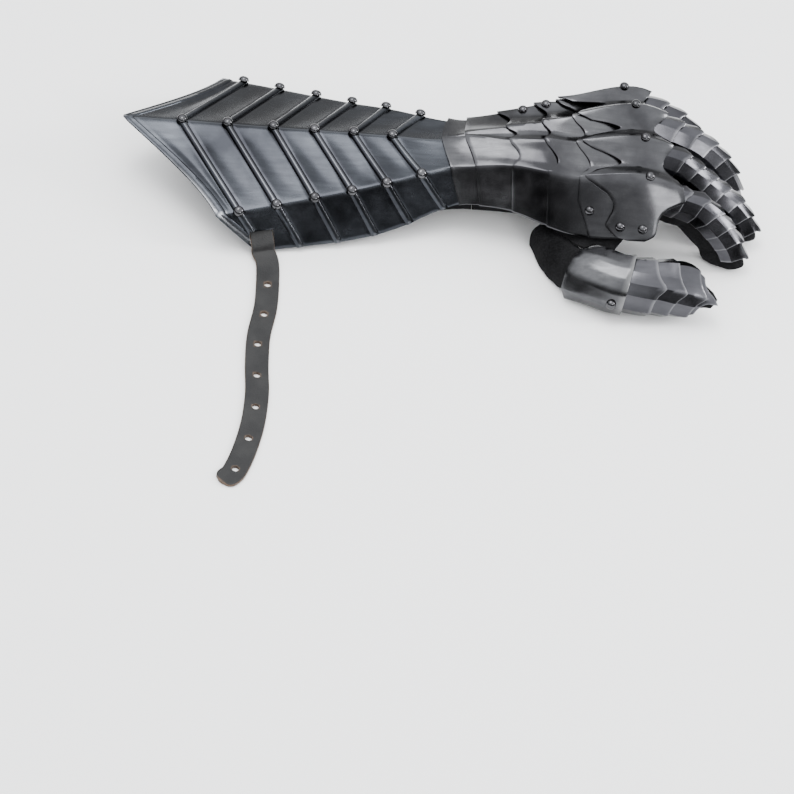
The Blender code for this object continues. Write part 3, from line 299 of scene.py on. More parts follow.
def tube_mesh(name: str, outer: Grid, inner: Grid, capped: bool) -> bpy.types.Mesh:
    """Loft of closed rings with an inner wall.

    Args:
        name: the mesh's name.
        outer: the outer rings, from the mouth on.
        inner: the inner rings.
        capped: whether the last rings are closed with faces, as a finger's end is.

    Returns:
        The mesh, its normals outward.
    """
    sides = len(outer[0])
    around = [(s, (s + 1) % sides) for s in range(sides)]
    second = len(outer) * sides
    faces = []
    for base, layer in ((0, outer), (second, inner)):
        for r in range(len(layer) - 1):
            low = base + r * sides
            faces += [(low + s, low + n, low + sides + n, low + sides + s) for s, n in around]
    faces += [(s, n, second + n, second + s) for s, n in around]
    ends = ((len(outer) - 1) * sides, second + (len(inner) - 1) * sides)
    if capped:
        faces += [tuple(end + s for s in range(sides)) for end in ends]
    else:
        faces += [(ends[0] + s, ends[0] + n, ends[1] + n, ends[1] + s) for s, n in around]
    mesh = bpy.data.meshes.new(name)
    mesh.from_pydata([tuple(p) for layer in (outer, inner) for ring in layer for p in ring], [], faces)
    face_outward(mesh)
    return mesh


def face_outward(mesh: bpy.types.Mesh) -> None:
    """Turn a closed mesh's faces outward."""
    work = bmesh.new()
    work.from_mesh(mesh)
    bmesh.ops.recalc_face_normals(work, faces=work.faces)
    if work.calc_volume(signed=True) < 0:
        bmesh.ops.reverse_faces(work, faces=work.faces)
    work.to_mesh(mesh)
    work.free()


def shrunk(ring: Sequence[Vector], wall: float) -> List[Vector]:
    """A ring moved inward by a wall's thickness in its own plane."""
    centre = sum(ring, Vector()) / len(ring)
    plane = Vector()
    for i, p in enumerate(ring):
        plane += (p - centre).cross(ring[(i + 1) % len(ring)] - centre)
    plane.normalize()
    inner = []
    for i, p in enumerate(ring):
        back = (p - ring[i - 1]).normalized()
        ahead = (ring[(i + 1) % len(ring)] - p).normalized()
        inner.append(p + (plane.cross(back) + plane.cross(ahead)).normalized() * wall)
    return inner


def modified(obj: bpy.types.Object) -> bpy.types.Object:
    """Apply an object's modifiers to its mesh, so that the piece is a plain mesh."""
    shown = obj.evaluated_get(bpy.context.evaluated_depsgraph_get())
    mesh = bpy.data.meshes.new_from_object(shown)
    obj.modifiers.clear()
    obj.data = mesh
    return obj


def make_piece(name: str, mesh: bpy.types.Mesh, material: bpy.types.Material,
               replaces: Sequence[str] = (), sharp: float = 32.0) -> bpy.types.Object:
    """Turn a mesh into a piece of the gauntlet.

    Args:
        name: the piece's name.
        mesh: its mesh, in the row frame.
        material: its finish.
        replaces: CAD nodes that it stands for.
        sharp: edges over this angle in degrees stay sharp.

    Returns:
        The piece.
    """
    obj = bpy.data.objects.new(name, mesh)
    bpy.context.scene.collection.objects.link(obj)
    mesh.materials.clear()
    mesh.materials.append(material)
    mesh.polygons.foreach_set("use_smooth", [True] * len(mesh.polygons))
    mesh.set_sharp_from_angle(angle=math.radians(sharp))
    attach(obj, "root")
    if replaces:
        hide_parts(*replaces)
    LOG.info("piece %s: %d faces", name, len(mesh.polygons))
    return obj


@dataclass
class SheetMetal:
    """Turns a grid of level points into a plate with thickness and eased edges."""

    resting: Resting
    edge: float = 0.28 * MM
    edge_steps: int = 2

    def plate_mesh(self, name: str, rows: Grid, thickness: float, even: bool = True,
                   cutter: Optional[bpy.types.Object] = None) -> bpy.types.Mesh:
        """Mesh of one plate, drawn on its inner face.

        Args:
            name: the plate's name.
            rows: level points of the inner face.
            thickness: of the sheet, added outward.
            even: whether sharp bends keep the full thickness.
            cutter: closed piece that is cut out of the plate.

        Returns:
            The mesh in the row frame, modifiers applied.
        """
        placed = [[self.resting.place(p) for p in row] for row in rows]
        obj = bpy.data.objects.new(name + "_work", sheet_mesh(name, placed))
        bpy.context.scene.collection.objects.link(obj)
        solid = obj.modifiers.new("sheet", "SOLIDIFY")
        solid.thickness = thickness
        solid.offset = 1.0
        solid.use_even_offset = even
        if cutter is not None:
            cut = obj.modifiers.new("slot", "BOOLEAN")
            cut.operation = "DIFFERENCE"
            cut.solver = "MANIFOLD"
            cut.object = cutter
        ease = obj.modifiers.new("edges", "BEVEL")
        ease.width = self.edge
        ease.segments = self.edge_steps
        ease.limit_method = "ANGLE"
        ease.angle_limit = math.radians(38)
        modified(obj)
        mesh = obj.data
        mesh.name = name
        bpy.data.objects.remove(obj, do_unlink=True)
        return mesh


@dataclass
class RivetSet:
    """Domed rivet heads."""

    radius: float = 3.4 * MM
    height: float = 2.7 * MM
    sink: float = 0.5 * MM
    sides: int = 28
    rings: int = 9

    def mesh(self, name: str, seats: Sequence[Tuple[Vector, Vector]]) -> bpy.types.Mesh:
        """One mesh of heads.

        Args:
            name: the mesh's name.
            seats: (point, outward direction) of each head, in the row frame.

        Returns:
            The mesh.
        """
        work = bmesh.new()
        for point, outward in seats:
            turn = outward.to_track_quat("Z", "X").to_matrix()
            loops = []
            for k in range(self.rings + 1):
                angle = math.pi / 2 * k / (self.rings + 0.6)
                radius = self.radius * math.cos(angle) ** 0.85
                height = self.height * math.sin(angle)
                if k == 0:
                    loops.append(self._loop(work, point, turn, radius, -self.sink))
                loops.append(self._loop(work, point, turn, radius, height))
            work.faces.new(loops[0][::-1])
            work.faces.new(loops[-1])
            for low, high in zip(loops, loops[1:]):
                for s in range(self.sides):
                    n = (s + 1) % self.sides
                    work.faces.new((low[s], low[n], high[n], high[s]))
        mesh = bpy.data.meshes.new(name)
        work.to_mesh(mesh)
        work.free()
        return mesh

    def _loop(self, work: bmesh.types.BMesh, point: Vector, turn: Matrix, radius: float,
              height: float) -> List[bmesh.types.BMVert]:
        """One ring of corners round a head."""
        loop = []
        for s in range(self.sides):
            angle = 2 * math.pi * s / self.sides
            corner = Vector((radius * math.cos(angle), radius * math.sin(angle), height))
            loop.append(work.verts.new(point + turn @ corner))
        return loop


class NodeTree:
    """Short way to lay out a material's nodes."""

    def __init__(self, name: str) -> None:
        """Start a material with its shader."""
        self.material = bpy.data.materials.new(name)
        self.material.use_nodes = True
        self.tree = self.material.node_tree
        self.shader = self.tree.nodes["Principled BSDF"]
        self.place = self.tree.nodes.new("ShaderNodeTexCoord").outputs["Object"]

    def link(self, source: bpy.types.NodeSocket, target: bpy.types.NodeSocket) -> None:
        """Join two sockets."""
        self.tree.links.new(source, target)

    def stretched(self, scale: Tuple[float, float, float]) -> bpy.types.NodeSocket:
        """The object's coordinates, scaled along each axis."""
        node = self.tree.nodes.new("ShaderNodeMapping")
        node.inputs["Scale"].default_value = scale
        self.link(self.place, node.inputs["Vector"])
        return node.outputs["Vector"]

    def noise(self, scale: float, detail: float, rough: float,
              where: Optional[bpy.types.NodeSocket] = None) -> bpy.types.NodeSocket:
        """A noise texture's value."""
        node = self.tree.nodes.new("ShaderNodeTexNoise")
        node.inputs["Scale"].default_value = scale
        node.inputs["Detail"].default_value = detail
        node.inputs["Roughness"].default_value = rough
        self.link(where or self.place, node.inputs["Vector"])
        return node.outputs["Fac"]

    def attribute(self, name: str) -> bpy.types.NodeSocket:
        """A value stored on the mesh's points."""
        node = self.tree.nodes.new("ShaderNodeAttribute")
        node.attribute_name = name
        return node.outputs["Fac"]

    def spread(self, value: bpy.types.NodeSocket, from_low: float, from_high: float, to_low: float,
               to_high: float) -> bpy.types.NodeSocket:
        """Map a value from one range to another, clamped."""
        node = self.tree.nodes.new("ShaderNodeMapRange")
        node.inputs["From Min"].default_value = from_low
        node.inputs["From Max"].default_value = from_high
        node.inputs["To Min"].default_value = to_low
        node.inputs["To Max"].default_value = to_high
        self.link(value, node.inputs["Value"])
        return node.outputs["Result"]

    def mixed(self, share: bpy.types.NodeSocket, first: object, second: object) -> bpy.types.NodeSocket:
        """Blend two colours, each given as a colour or as a socket."""
        node = self.tree.nodes.new("ShaderNodeMix")
        node.data_type = "RGBA"
        self.link(share, node.inputs["Factor"])
        for side, socket in ((first, node.inputs[6]), (second, node.inputs[7])):
            if isinstance(side, tuple):
                socket.default_value = (*side, 1.0)
            else:
                self.link(side, socket)
        return node.outputs[2]

    def maths(self, kind: str, first: bpy.types.NodeSocket, second: object) -> bpy.types.NodeSocket:
        """A sum or product of two values."""
        node = self.tree.nodes.new("ShaderNodeMath")
        node.operation = kind
        self.link(first, node.inputs[0])
        if isinstance(second, float):
            node.inputs[1].default_value = second
        else:
            self.link(second, node.inputs[1])
        return node.outputs[0]

    def bump(self, height: bpy.types.NodeSocket, depth: float, strength: float) -> None:
        """Raise the surface by a height map of a real depth, in metres."""
        node = self.tree.nodes.new("ShaderNodeBump")
        node.inputs["Distance"].default_value = depth
        node.inputs["Strength"].default_value = strength
        self.link(height, node.inputs["Height"])
        self.link(node.outputs["Normal"], self.shader.inputs["Normal"])


@dataclass(frozen=True)
class Steel:
    """Polished steel darkened by heat: streaks, clouds, and painted highlight lines along the edges."""

    name: str
    deep: Colour
    pale: Colour
    rough_low: float
    rough_high: float
    streak: Tuple[float, float, float] = (30.0, 260.0, 260.0)
    cloud_scale: float = 22.0
    heat: Optional[Colour] = None
    # Colour of the painted highlight lines along edges and ridges
    edge: Colour = (0.5, 0.5, 0.5)
    dent_depth: float = 0.0006

    def material(self) -> bpy.types.Material:
        """Build the finish's nodes."""
        nodes = NodeTree(self.name)
        shader = nodes.shader
        shader.inputs["Metallic"].default_value = 1.0
        clouds = nodes.noise(self.cloud_scale, 5.0, 0.55)
        streaks = nodes.noise(1.0, 3.0, 0.6, nodes.stretched(self.streak))
        cloud_share = nodes.spread(clouds, 0.34, 0.66, 0.0, 1.0)
        colour = nodes.mixed(cloud_share, self.deep, self.pale)
        streak_share = nodes.spread(streaks, 0.35, 0.7, 0.0, 0.45)
        colour = nodes.mixed(streak_share, colour, self.deep)
        if self.heat is not None:
            blot = nodes.spread(nodes.noise(34.0, 4.0, 0.6), 0.42, 0.62, 0.15, 1.0)
            warm = nodes.maths("MULTIPLY", nodes.attribute("heat"), blot)
            colour = nodes.mixed(warm, colour, self.heat)
        # Painted highlight: thin bright lines on edges and ridges, mixed toward the highlight colour where
        # light would catch them
        colour = nodes.mixed(nodes.attribute("edge_highlight"), colour, self.edge)
        nodes.link(colour, shader.inputs["Base Color"])
        scuff = nodes.noise(90.0, 4.0, 0.6)
        rough = nodes.maths("ADD", nodes.spread(clouds, 0.3, 0.7, self.rough_low, self.rough_high),
                            nodes.spread(scuff, 0.4, 0.7, 0.0, 0.06))
        nodes.link(rough, shader.inputs["Roughness"])
        grain = nodes.noise(1.0, 2.0, 0.5, nodes.stretched((120.0, 1500.0, 1500.0)))
        dents = nodes.noise(26.0, 2.0, 0.4)
        nodes.bump(nodes.maths("ADD", dents, nodes.maths("MULTIPLY", grain, 0.03)), self.dent_depth, 0.35)
        return nodes.material


@dataclass(frozen=True)
class Suede:
    """Split leather with a brushed nap."""

    name: str
    deep: Colour = (0.0012, 0.0012, 0.0013)
    pale: Colour = (0.009, 0.009, 0.0095)

    def material(self) -> bpy.types.Material:
        """Build the finish's nodes."""
        nodes = NodeTree(self.name)
        shader = nodes.shader
        shader.inputs["Roughness"].default_value = 0.96
        shader.inputs["Specular IOR Level"].default_value = 0.04
        shader.inputs["Sheen Weight"].default_value = 0.02
        shader.inputs["Sheen Roughness"].default_value = 0.6
        shader.inputs["Sheen Tint"].default_value = (0.5, 0.5, 0.52, 1.0)
        brushed = nodes.noise(38.0, 6.0, 0.68)
        fine = nodes.noise(900.0, 3.0, 0.7)
        colour = nodes.mixed(nodes.spread(brushed, 0.36, 0.68, 0.0, 1.0), self.deep, self.pale)
        colour = nodes.mixed(nodes.spread(fine, 0.4, 0.75, 0.0, 0.45), colour, (0.022, 0.022, 0.024))
        nodes.link(colour, shader.inputs["Base Color"])
        nodes.bump(nodes.maths("ADD", fine, nodes.maths("MULTIPLY", brushed, 1.4)), 0.0005, 0.75)
        return nodes.material


@dataclass(frozen=True)
class StrapLeather:
    """Dyed strap leather with a fine grain and pale raw edges."""

    name: str
    face: Colour = (0.008, 0.008, 0.0085)
    worn: Colour = (0.02, 0.02, 0.02)
    raw: Colour = (0.11, 0.07, 0.045)

    def material(self) -> bpy.types.Material:
        """Build the finish's nodes."""
        nodes = NodeTree(self.name)
        shader = nodes.shader
        shader.inputs["Specular IOR Level"].default_value = 0.25
        pores = nodes.tree.nodes.new("ShaderNodeTexVoronoi")
        pores.inputs["Scale"].default_value = 900.0
        nodes.link(nodes.place, pores.inputs["Vector"])
        patches = nodes.noise(55.0, 5.0, 0.6)
        colour = nodes.mixed(nodes.spread(patches, 0.4, 0.7, 0.0, 1.0), self.face, self.worn)
        fibres = nodes.spread(nodes.noise(400.0, 3.0, 0.6), 0.3, 0.7, 0.5, 1.0)
        edge = nodes.maths("MULTIPLY", nodes.attribute("raw"), fibres)
        nodes.link(nodes.mixed(edge, colour, self.raw), shader.inputs["Base Color"])
        nodes.link(nodes.spread(patches, 0.3, 0.7, 0.42, 0.6), shader.inputs["Roughness"])
        nodes.bump(nodes.maths("ADD", pores.outputs["Distance"], patches), 0.0003, 0.5)
        return nodes.material


@dataclass(frozen=True)
class Plating:
    """Bright nickel plate with faint scratches."""

    name: str
    colour: Colour = (0.62, 0.62, 0.63)

    def material(self) -> bpy.types.Material:
        """Build the finish's nodes."""
        nodes = NodeTree(self.name)
        shader = nodes.shader
        shader.inputs["Metallic"].default_value = 1.0
        dull = nodes.noise(240.0, 4.0, 0.6)
        nodes.link(nodes.mixed(nodes.spread(dull, 0.4, 0.7, 0.0, 0.5), self.colour, (0.4, 0.4, 0.42)),
                   shader.inputs["Base Color"])
        nodes.link(nodes.spread(dull, 0.3, 0.7, 0.12, 0.28), shader.inputs["Roughness"])
        nodes.bump(dull, 0.0001, 0.3)
        return nodes.material


@dataclass(frozen=True)
class Backdrop:
    """Plain pale floor."""

    name: str = "pale_floor"
    colour: Colour = (0.95, 0.95, 0.95)

    def material(self) -> bpy.types.Material:
        """Build the floor's nodes."""
        nodes = NodeTree(self.name)
        shade = nodes.spread(nodes.noise(1.2, 2.0, 0.5), 0.3, 0.7, 0.0, 1.0)
        nodes.link(nodes.mixed(shade, self.colour, (0.94, 0.94, 0.94)), nodes.shader.inputs["Base Color"])
        nodes.shader.inputs["Roughness"].default_value = 0.85
        return nodes.material


class Finish(Enum):
    """The gauntlet's finishes."""

    # In CUFF and SCALE, the pale colour after the heat tint is the painted highlight colour of the edge lines
    CUFF = Steel("cuff_steel", (0.016, 0.017, 0.020), (0.050, 0.054, 0.062), 0.15, 0.26,
                 (34.0, 300.0, 300.0), 14.0, (0.045, 0.02, 0.017), (0.34, 0.35, 0.37), 0.0002)
    PLATE = Steel("hand_steel", (0.034, 0.034, 0.037), (0.10, 0.101, 0.106), 0.13, 0.22, dent_depth=0.0004)
    SCALE = Steel("scale_steel", (0.034, 0.034, 0.038), (0.080, 0.080, 0.088), 0.14, 0.22,
                  (34.0, 150.0, 150.0), 18.0, (0.008, 0.014, 0.10), (0.42, 0.42, 0.44), 0.0003)
    RIVET = Steel("rivet_steel", (0.05, 0.05, 0.053), (0.09, 0.09, 0.095), 0.06, 0.10, dent_depth=0.0001)
    SUEDE = Suede("glove_suede")
    LEATHER = StrapLeather("strap_leather")
    NICKEL = Plating("buckle_nickel")
    FLOOR = Backdrop()


@dataclass
class Wardrobe:
    """Keeps one built material for each finish."""

    built: Dict[str, bpy.types.Material] = field(default_factory=dict)

    def get(self, finish: Finish) -> bpy.types.Material:
        """The finish's material, built at its first use."""
        if finish.name not in self.built:
            self.built[finish.name] = finish.value.material()
        return self.built[finish.name]


def store_value(mesh: bpy.types.Mesh, name: str, value: Callable[[Vector], float]) -> None:
    """Store a value on each of a mesh's points.

    Args:
        mesh: the mesh, in the row frame.
        name: the attribute's name.
        value: gives the value at a point.
    """
    layer = mesh.attributes.new(name, "FLOAT", "POINT")
    layer.data.foreach_set("value", [value(v.co) for v in mesh.vertices])


@dataclass
class Cuff:
    """Flared cuff: rim border, six ribs a side, and rivets on the ridges."""

    surface: PlateSurface
    resting: Resting
    sheet: float = 1.2 * MM
    rib_width: float = 3.6 * MM
    rib_height: float = 2.0 * MM
    sag: float = 1.0 * MM
    rivet_radius: float = 3.8 * MM
    rivet_height: float = 3.1 * MM
    border_width: float = 5.5 * MM
    border_height: float = 0.9 * MM
    rim_ridge: float = 64.5 * MM
    rim_hem: float = 91.3 * MM
    rim_bow: float = 0.5
    rib_bow: float = 0.15
    rib_hem_shift: float = 16 * MM
    end: float = 224 * MM
    end_shift: float = 5 * MM
    slot_x: float = 94.5 * MM
    slot_lane: float = 0.34
    slot_size: Tuple[float, float, float] = (17.4 * MM, 9 * MM, 16 * MM)
    # Rim border: (share of its width, share of its height) from the edge back
    border_rows: Tuple[Tuple[float, float], ...] = (
        (0.0, 0.75), (0.06, 1.0), (0.34, 1.0), (0.4, 0.35), (0.5, 0.35), (0.56, 1.0), (0.9, 1.0), (1.0, 0.7),
        (1.12, 0.0), (1.4, 0.0))
    rivet_sink: float = 0.4 * MM
    heat_reach: float = 12 * MM
    heat: float = 0.8
    # Strength of the painted highlight lines
    edge_highlight: float = 0.85
    # Painted highlight lines along the ridges, the rim's border, the ribs and the crown: (reach, share)
    highlight_places: Tuple[Tuple[float, float], ...] = (
        (0.8 * MM, 1.0), (1.1 * MM, 0.7), (0.9 * MM, 0.25), (1.0 * MM, 0.12))
    crown_ribs: Tuple[float, ...] = (0.099, 0.177, 0.256, 0.327, 0.395, 0.462)
    ridge_ribs: Tuple[float, ...] = (0.198, 0.262, 0.327, 0.391, 0.451, 0.511)

    def shares(self, lane: float) -> Tuple[float, float]:
        """How far a lane lies out from the crown on top, and down the flank, each 0 to 1."""
        if lane < 1:
            return 1.0, 1.0 - lane
        if lane < 3:
            return (3 - lane) / 2, 0.0
        if lane <= 5:
            return 0.0, 0.0
        if lane <= 7:
            return (lane - 5) / 2, 0.0
        return 1.0, lane - 7

    def chevron(self, crown: float, ridge: float, hem: float, bow: float, lane: float) -> float:
        """X of a chevron line in a lane."""
        out, down = self.shares(lane)
        return crown + (ridge - crown) * (out + bow * out * (1 - out)) + (hem - ridge) * down

    def profile(self) -> List[Tuple[float, float, float, float, float, float]]:
        """Rows of the cuff from the rim back: (crown, ridge, hem, bow, shift, height)."""
        rim = (0.0, self.rim_ridge, self.rim_hem, self.rim_bow)
        high, wide = self.border_height, self.border_width
        rows = []
        for share, height in self.border_rows:
            rows.append((*rim, wide * share, high * height))
        half = self.rib_width / 2
        ends = []
        for crown, ridge in zip(self.crown_ribs, self.ridge_ribs):
            x, out = crown * self.surface.arm_length, ridge * self.surface.arm_length
            ends.append((x, out, out + self.rib_hem_shift, self.rib_bow))
        last = rows[-1]
        before = (last[0] + last[4], last[1] + last[4], last[2] + last[4], last[3])
        for line in ends + [(self.end, self.end + self.end_shift, self.end + 2 * self.end_shift, 0.0)]:
            after = line if line[0] == self.end else tuple(v - half * 1.5 for v in line[:3]) + (line[3],)
            for k in range(1, 8):
                share = k / 8
                rows.append((*[a + (b - a) * share for a, b in zip(before, after)], 0.0,
                             -self.sag * math.sin(math.pi * share)))
            if line[0] == self.end:
                rows.append((*line, 0.0, 0.0))
                break
            rows.append((*line, -1.5 * half, 0.0))
            for k in range(11):
                angle = math.pi * k / 10
                lift = self.rib_height * math.sin(angle) ** 0.8
                rows.append((*line, -half * math.cos(angle) * 1.05, lift))
            rows.append((*line, 1.5 * half, 0.0))
            before = tuple(v + 1.5 * half for v in line[:3]) + (line[3],)
        return rows

    def lanes(self) -> List[float]:
        """Places across the cuff where it is drawn."""
        flank = sampled(0.0, 1.0, 13)
        top = sampled(1.0, 3.0, 30)
        near = flank + top[1:]
        return near + [4.0] + [8.0 - lane for lane in reversed(near)]

    def shell_mesh(self, metal: SheetMetal) -> bpy.types.Mesh:
        """The ribbed sheet, with the strap's slot cut in its near flank."""
        rows = []
        for crown, ridge, hem, bow, shift, height in self.profile():
            row = []
            for lane in self.lanes():
                x = self.chevron(crown, ridge, hem, bow, lane) + shift
                out, down = self.shares(lane)
                fade = 1.0 - 0.45 * down if height > 0 else (4 * out * (1 - out) if not down else 0.3 * down)
                row.append(self.surface.lifted(x, lane, height * fade))
            rows.append(row)
        cutter = self.slot_cutter()
        mesh = metal.plate_mesh("cuff_shell", rows, self.sheet, False, cutter)
        bpy.data.objects.remove(cutter, do_unlink=True)
        return mesh

    def slot_cutter(self) -> bpy.types.Object:
        """Box that cuts the slot which the forearm strap comes out of."""
        centre = self.surface.point(self.slot_x, self.slot_lane)
        normal = self.surface.normal(self.slot_x, self.slot_lane)
        along = Vector((1, 0, 0))
        along = (along - normal * along.dot(normal)).normalized()
        across = normal.cross(along)
        work = bmesh.new()
        bmesh.ops.create_cube(work, size=1.0)
        long, tall, deep = self.slot_size
        turn = Matrix([along * long, across * tall, normal * deep]).transposed()
        for vert in work.verts:
            vert.co = self.resting.place(centre + turn @ vert.co)
        bmesh.ops.recalc_face_normals(work, faces=work.faces)
        mesh = bpy.data.meshes.new("slot_cutter")
        work.to_mesh(mesh)
        work.free()
        cutter = bpy.data.objects.new("slot_cutter", mesh)
        bpy.context.scene.collection.objects.link(cutter)
        return cutter

    def rib_distance(self, point: Vector) -> float:
        """Shortest distance along the arm from a level point to a rib's line."""
        lane = self.lane_of(point)
        best = 1.0
        for crown, ridge in zip(self.crown_ribs, self.ridge_ribs):
            middle, out = crown * self.surface.arm_length, ridge * self.surface.arm_length
            x = self.chevron(middle, out, out + self.rib_hem_shift, self.rib_bow, lane)
            best = min(best, abs(point.x - x))
        return best

    def lane_of(self, point: Vector) -> float:
        """The lane that a level point lies in, from its place across."""
        side = -1 if point.y < 0 else 1
        ridge = abs(self.surface.line(1, point.x)[0])
        hem = abs(self.surface.line(0, point.x)[0])
        out = abs(point.y)
        if out <= ridge:
            lane = 3.0 - 2.0 * out / ridge
        else:
            lane = max(0.0, 1.0 - (out - ridge) / max(hem - ridge, MM))
        return lane if side < 0 else 8.0 - lane

    def level(self, point: Vector) -> Vector:
        """A point of the row frame in the level frame."""
        return self.resting.turn().transposed() @ (point - self.resting.location)

    def heat_at(self, point: Vector) -> float:
        """Heat tint, strongest just beside the ribs."""
        distance = self.rib_distance(self.level(point))
        return smooth_step(1.0 - distance / self.heat_reach) * self.heat

    def edge_highlight_at(self, point: Vector) -> float:
        """Painted highlight lines along the ridges, the crown, the rim and the tops of the ribs."""
        level = self.level(point)
        lane = self.lane_of(level)
        near_ridge = min(abs(level.y - self.surface.line(side, level.x)[0]) for side in (1, 7))
        rim = self.chevron(0.0, self.rim_ridge, self.rim_hem, self.rim_bow, lane)
        distances = (near_ridge, abs(level.x - rim), self.rib_distance(level), abs(level.y))
        return self.edge_highlight * max(share * smooth_step(1.0 - distance / reach)
                               for distance, (reach, share) in zip(distances, self.highlight_places))

    def seats(self) -> List[Tuple[Vector, Vector]]:
        """Where the rivets sit, on the ribs at the crown and at both ridges."""
        turn = self.resting.turn()
        seats = []
        for crown, ridge in zip(self.crown_ribs, self.ridge_ribs):
            for lane, share in ((4, crown), (1, ridge), (7, ridge)):
                x = share * self.surface.arm_length
                point = self.surface.lifted(x, lane, self.sheet + self.rib_height - self.rivet_sink)
                seats.append((self.resting.place(point), turn @ self.surface.normal(x, lane)))
        return seats

    def build(self, metal: SheetMetal, wardrobe: Wardrobe) -> None:
        """Make the shell and its rivets."""
        mesh = self.shell_mesh(metal)
        shell = make_piece("cuff_shell", mesh, wardrobe.get(Finish.CUFF), ["cuff"])
        store_value(shell.data, "heat", self.heat_at)
        # Painted highlight lines on the shell's ridges, rim, ribs and crown
        store_value(shell.data, "edge_highlight", self.edge_highlight_at)
        heads = RivetSet(self.rivet_radius, self.rivet_height).mesh("cuff_rivets", self.seats())
        make_piece("cuff_rivets", heads, wardrobe.get(Finish.RIVET))


# Lanes whose edges the plate tables give
EDGE_LANES = (0, 0.6, 1, 2, 3, 4, 5, 6, 7, 7.4, 8)
# Back and front edges of the hand's plates in those lanes and their lifts, in mm; rivets as (lane, x)
PlateRow = namedtuple("PlateRow", "name back front lift_back lift_front sheet rivets")
PLATE_ROWS = (
    PlateRow("wrist_lame", (231, 227, 225, 222, 219.5, 219.5, 219.5, 221, 224, 226, 230),
             (246, 245.5, 245, 244, 243, 243, 243, 244, 245, 245, 246), 2.5, 0.35, 1.0, ()),
    PlateRow("hand_lame_1", (245, 243.5, 242.7, 240, 236, 236, 236, 237, 238, 240, 243),
             (276, 276.6, 277, 280, 276, 280, 275, 277, 272, 273, 274), 3.0, 0.3, 1.0, ()),
    PlateRow("hand_lame_2", (268, 268.2, 268.4, 273.2, 266.3, 271.9, 264.3, 267.7, 259.4, 260, 262),
             (300, 300.6, 301, 306, 301, 304, 299, 301, 294, 294, 294), 3.0, 0.3, 1.0, ((6.85, 277),)),
    PlateRow("hand_lame_3", (292, 292.3, 292.5, 299, 290.2, 295, 289.2, 293.3, 285, 285, 286),
             (320, 321.5, 323, 330, 323, 328, 321, 323, 307, 307, 307), 3.3, 0.3, 1.0, ((6.85, 293),)),
    PlateRow("hand_lame_4", (320.8, 312.8, 314, 321.6, 312, 318.6, 310, 313, 300, 300, 301),
             (341, 342, 340, 352, 340, 350, 338, 344, 330, 330, 330), 3.0, 0.3, 1.0, ((0.46, 321),)),
    PlateRow("knuckle_plate", (334.5, 335, 317.5, 343, 316, 343, 314, 334.4, 301.5, 310, 322),
             (364.3, 376, 384, 371, 378, 366, 376, 361, 366, 358, 350), 4.8, 3.8, 1.0,
             ((1.0, 361), (3.0, 359), (5.0, 354), (7.0, 348), (0.22, 342), (0.2, 357))),
)
# Near flank of the knuckle plate: lane, back edge and front edge in mm, instead of the table's straight edges
KNUCKLE_FLANK = ((0.0, 347.0, 358.0), (0.06, 338.5, 363.5), (0.12, 335.3, 365.5), (0.22, 332.2, 366.5),
                 (0.34, 334.2, 367.5), (0.48, 337.2, 370.5), (0.60, 337.0, 375.5), (0.70, 334.5, 381.5),
                 (0.76, 332.5, 385.0), (0.85, 327.0, 385.5), (1.0, 317.5, 384.0))


@dataclass
class HandPlates:
    """Wrist lame, four hand lames and the ridged knuckle plate."""

    surface: PlateSurface
    resting: Resting
    cuts: int = 13

    def edge(self, values: Sequence[float], lane: float) -> float:
        """Read a plate's edge in a lane: straight on the flanks, scalloped between the ridges."""
        low, high = lane_span(lane)
        knuckle = PLATE_ROWS[-1]
        if low == 0 and values in (knuckle.back, knuckle.front):
            lanes, backs, fronts = zip(*KNUCKLE_FLANK)
            return smooth_curve(lanes, backs if values is knuckle.back else fronts, lane) * MM
        if low == 0 or low == 7:
            k = max(i for i in range(len(EDGE_LANES) - 1) if EDGE_LANES[i] <= lane)
            share = (lane - EDGE_LANES[k]) / (EDGE_LANES[k + 1] - EDGE_LANES[k])
            return (values[k] + (values[k + 1] - values[k]) * share) * MM
        first, middle, second = (values[EDGE_LANES.index(v)] for v in (low, low + 1, high))
        share = (lane - low) / (high - low)
        straight = first + (second - first) * share
        return (straight + (middle - (first + second) / 2) * math.sin(math.pi * share)) * MM

    def lanes(self) -> List[float]:
        """Places across where a plate is drawn."""
        lanes = sampled(0.0, 1.0, 26)
        for low, high in ((1, 3), (3, 5), (5, 7)):
            lanes += sampled(low, high, 21)[1:]
        return lanes + sampled(7.0, 8.0, 9)[1:]

    def lift(self, row: PlateRow, lane: float, x: float) -> float:
        """Height of a plate's inner face over the surface."""
        back, front = self.edge(row.back, lane), self.edge(row.front, lane)
        cut = (x - back) / (front - back)
        return (row.lift_back + (row.lift_front - row.lift_back) * cut) * MM

    def inner_points(self, row: PlateRow, lanes: Sequence[float], cuts: int, extra: float = 0.0) -> Grid:
        """Level points of a plate's inner face, or of a face a little outside it."""
        rows = []
        for cut in sampled(0.0, 1.0, cuts):
            line = []
            for lane in lanes:
                back, front = self.edge(row.back, lane), self.edge(row.front, lane)
                x = back + (front - back) * cut
                line.append(self.surface.lifted(x, lane, self.lift(row, lane, x) + extra))
            rows.append(line)
        return rows

    def build(self, metal: SheetMetal, rivets: RivetSet, wardrobe: Wardrobe) -> None:
        """Make every plate and its rivets."""
        turn = self.resting.turn()
        for row in PLATE_ROWS:
            mesh = metal.plate_mesh(row.name + "_plate", self.inner_points(row, self.lanes(), self.cuts),
                                    row.sheet * MM)
            make_piece(row.name + "_plate", mesh, wardrobe.get(Finish.PLATE), [row.name])
            if row.rivets:
                seats = []
                for lane, place in row.rivets:
                    x = place * MM
                    point = self.surface.lifted(x, lane, self.lift(row, lane, x) + row.sheet * MM)
                    seats.append((self.resting.place(point), turn @ self.surface.normal(x, lane)))
                heads = rivets.mesh(row.name + "_rivets", seats)
                make_piece(row.name + "_rivets", heads, wardrobe.get(Finish.RIVET))


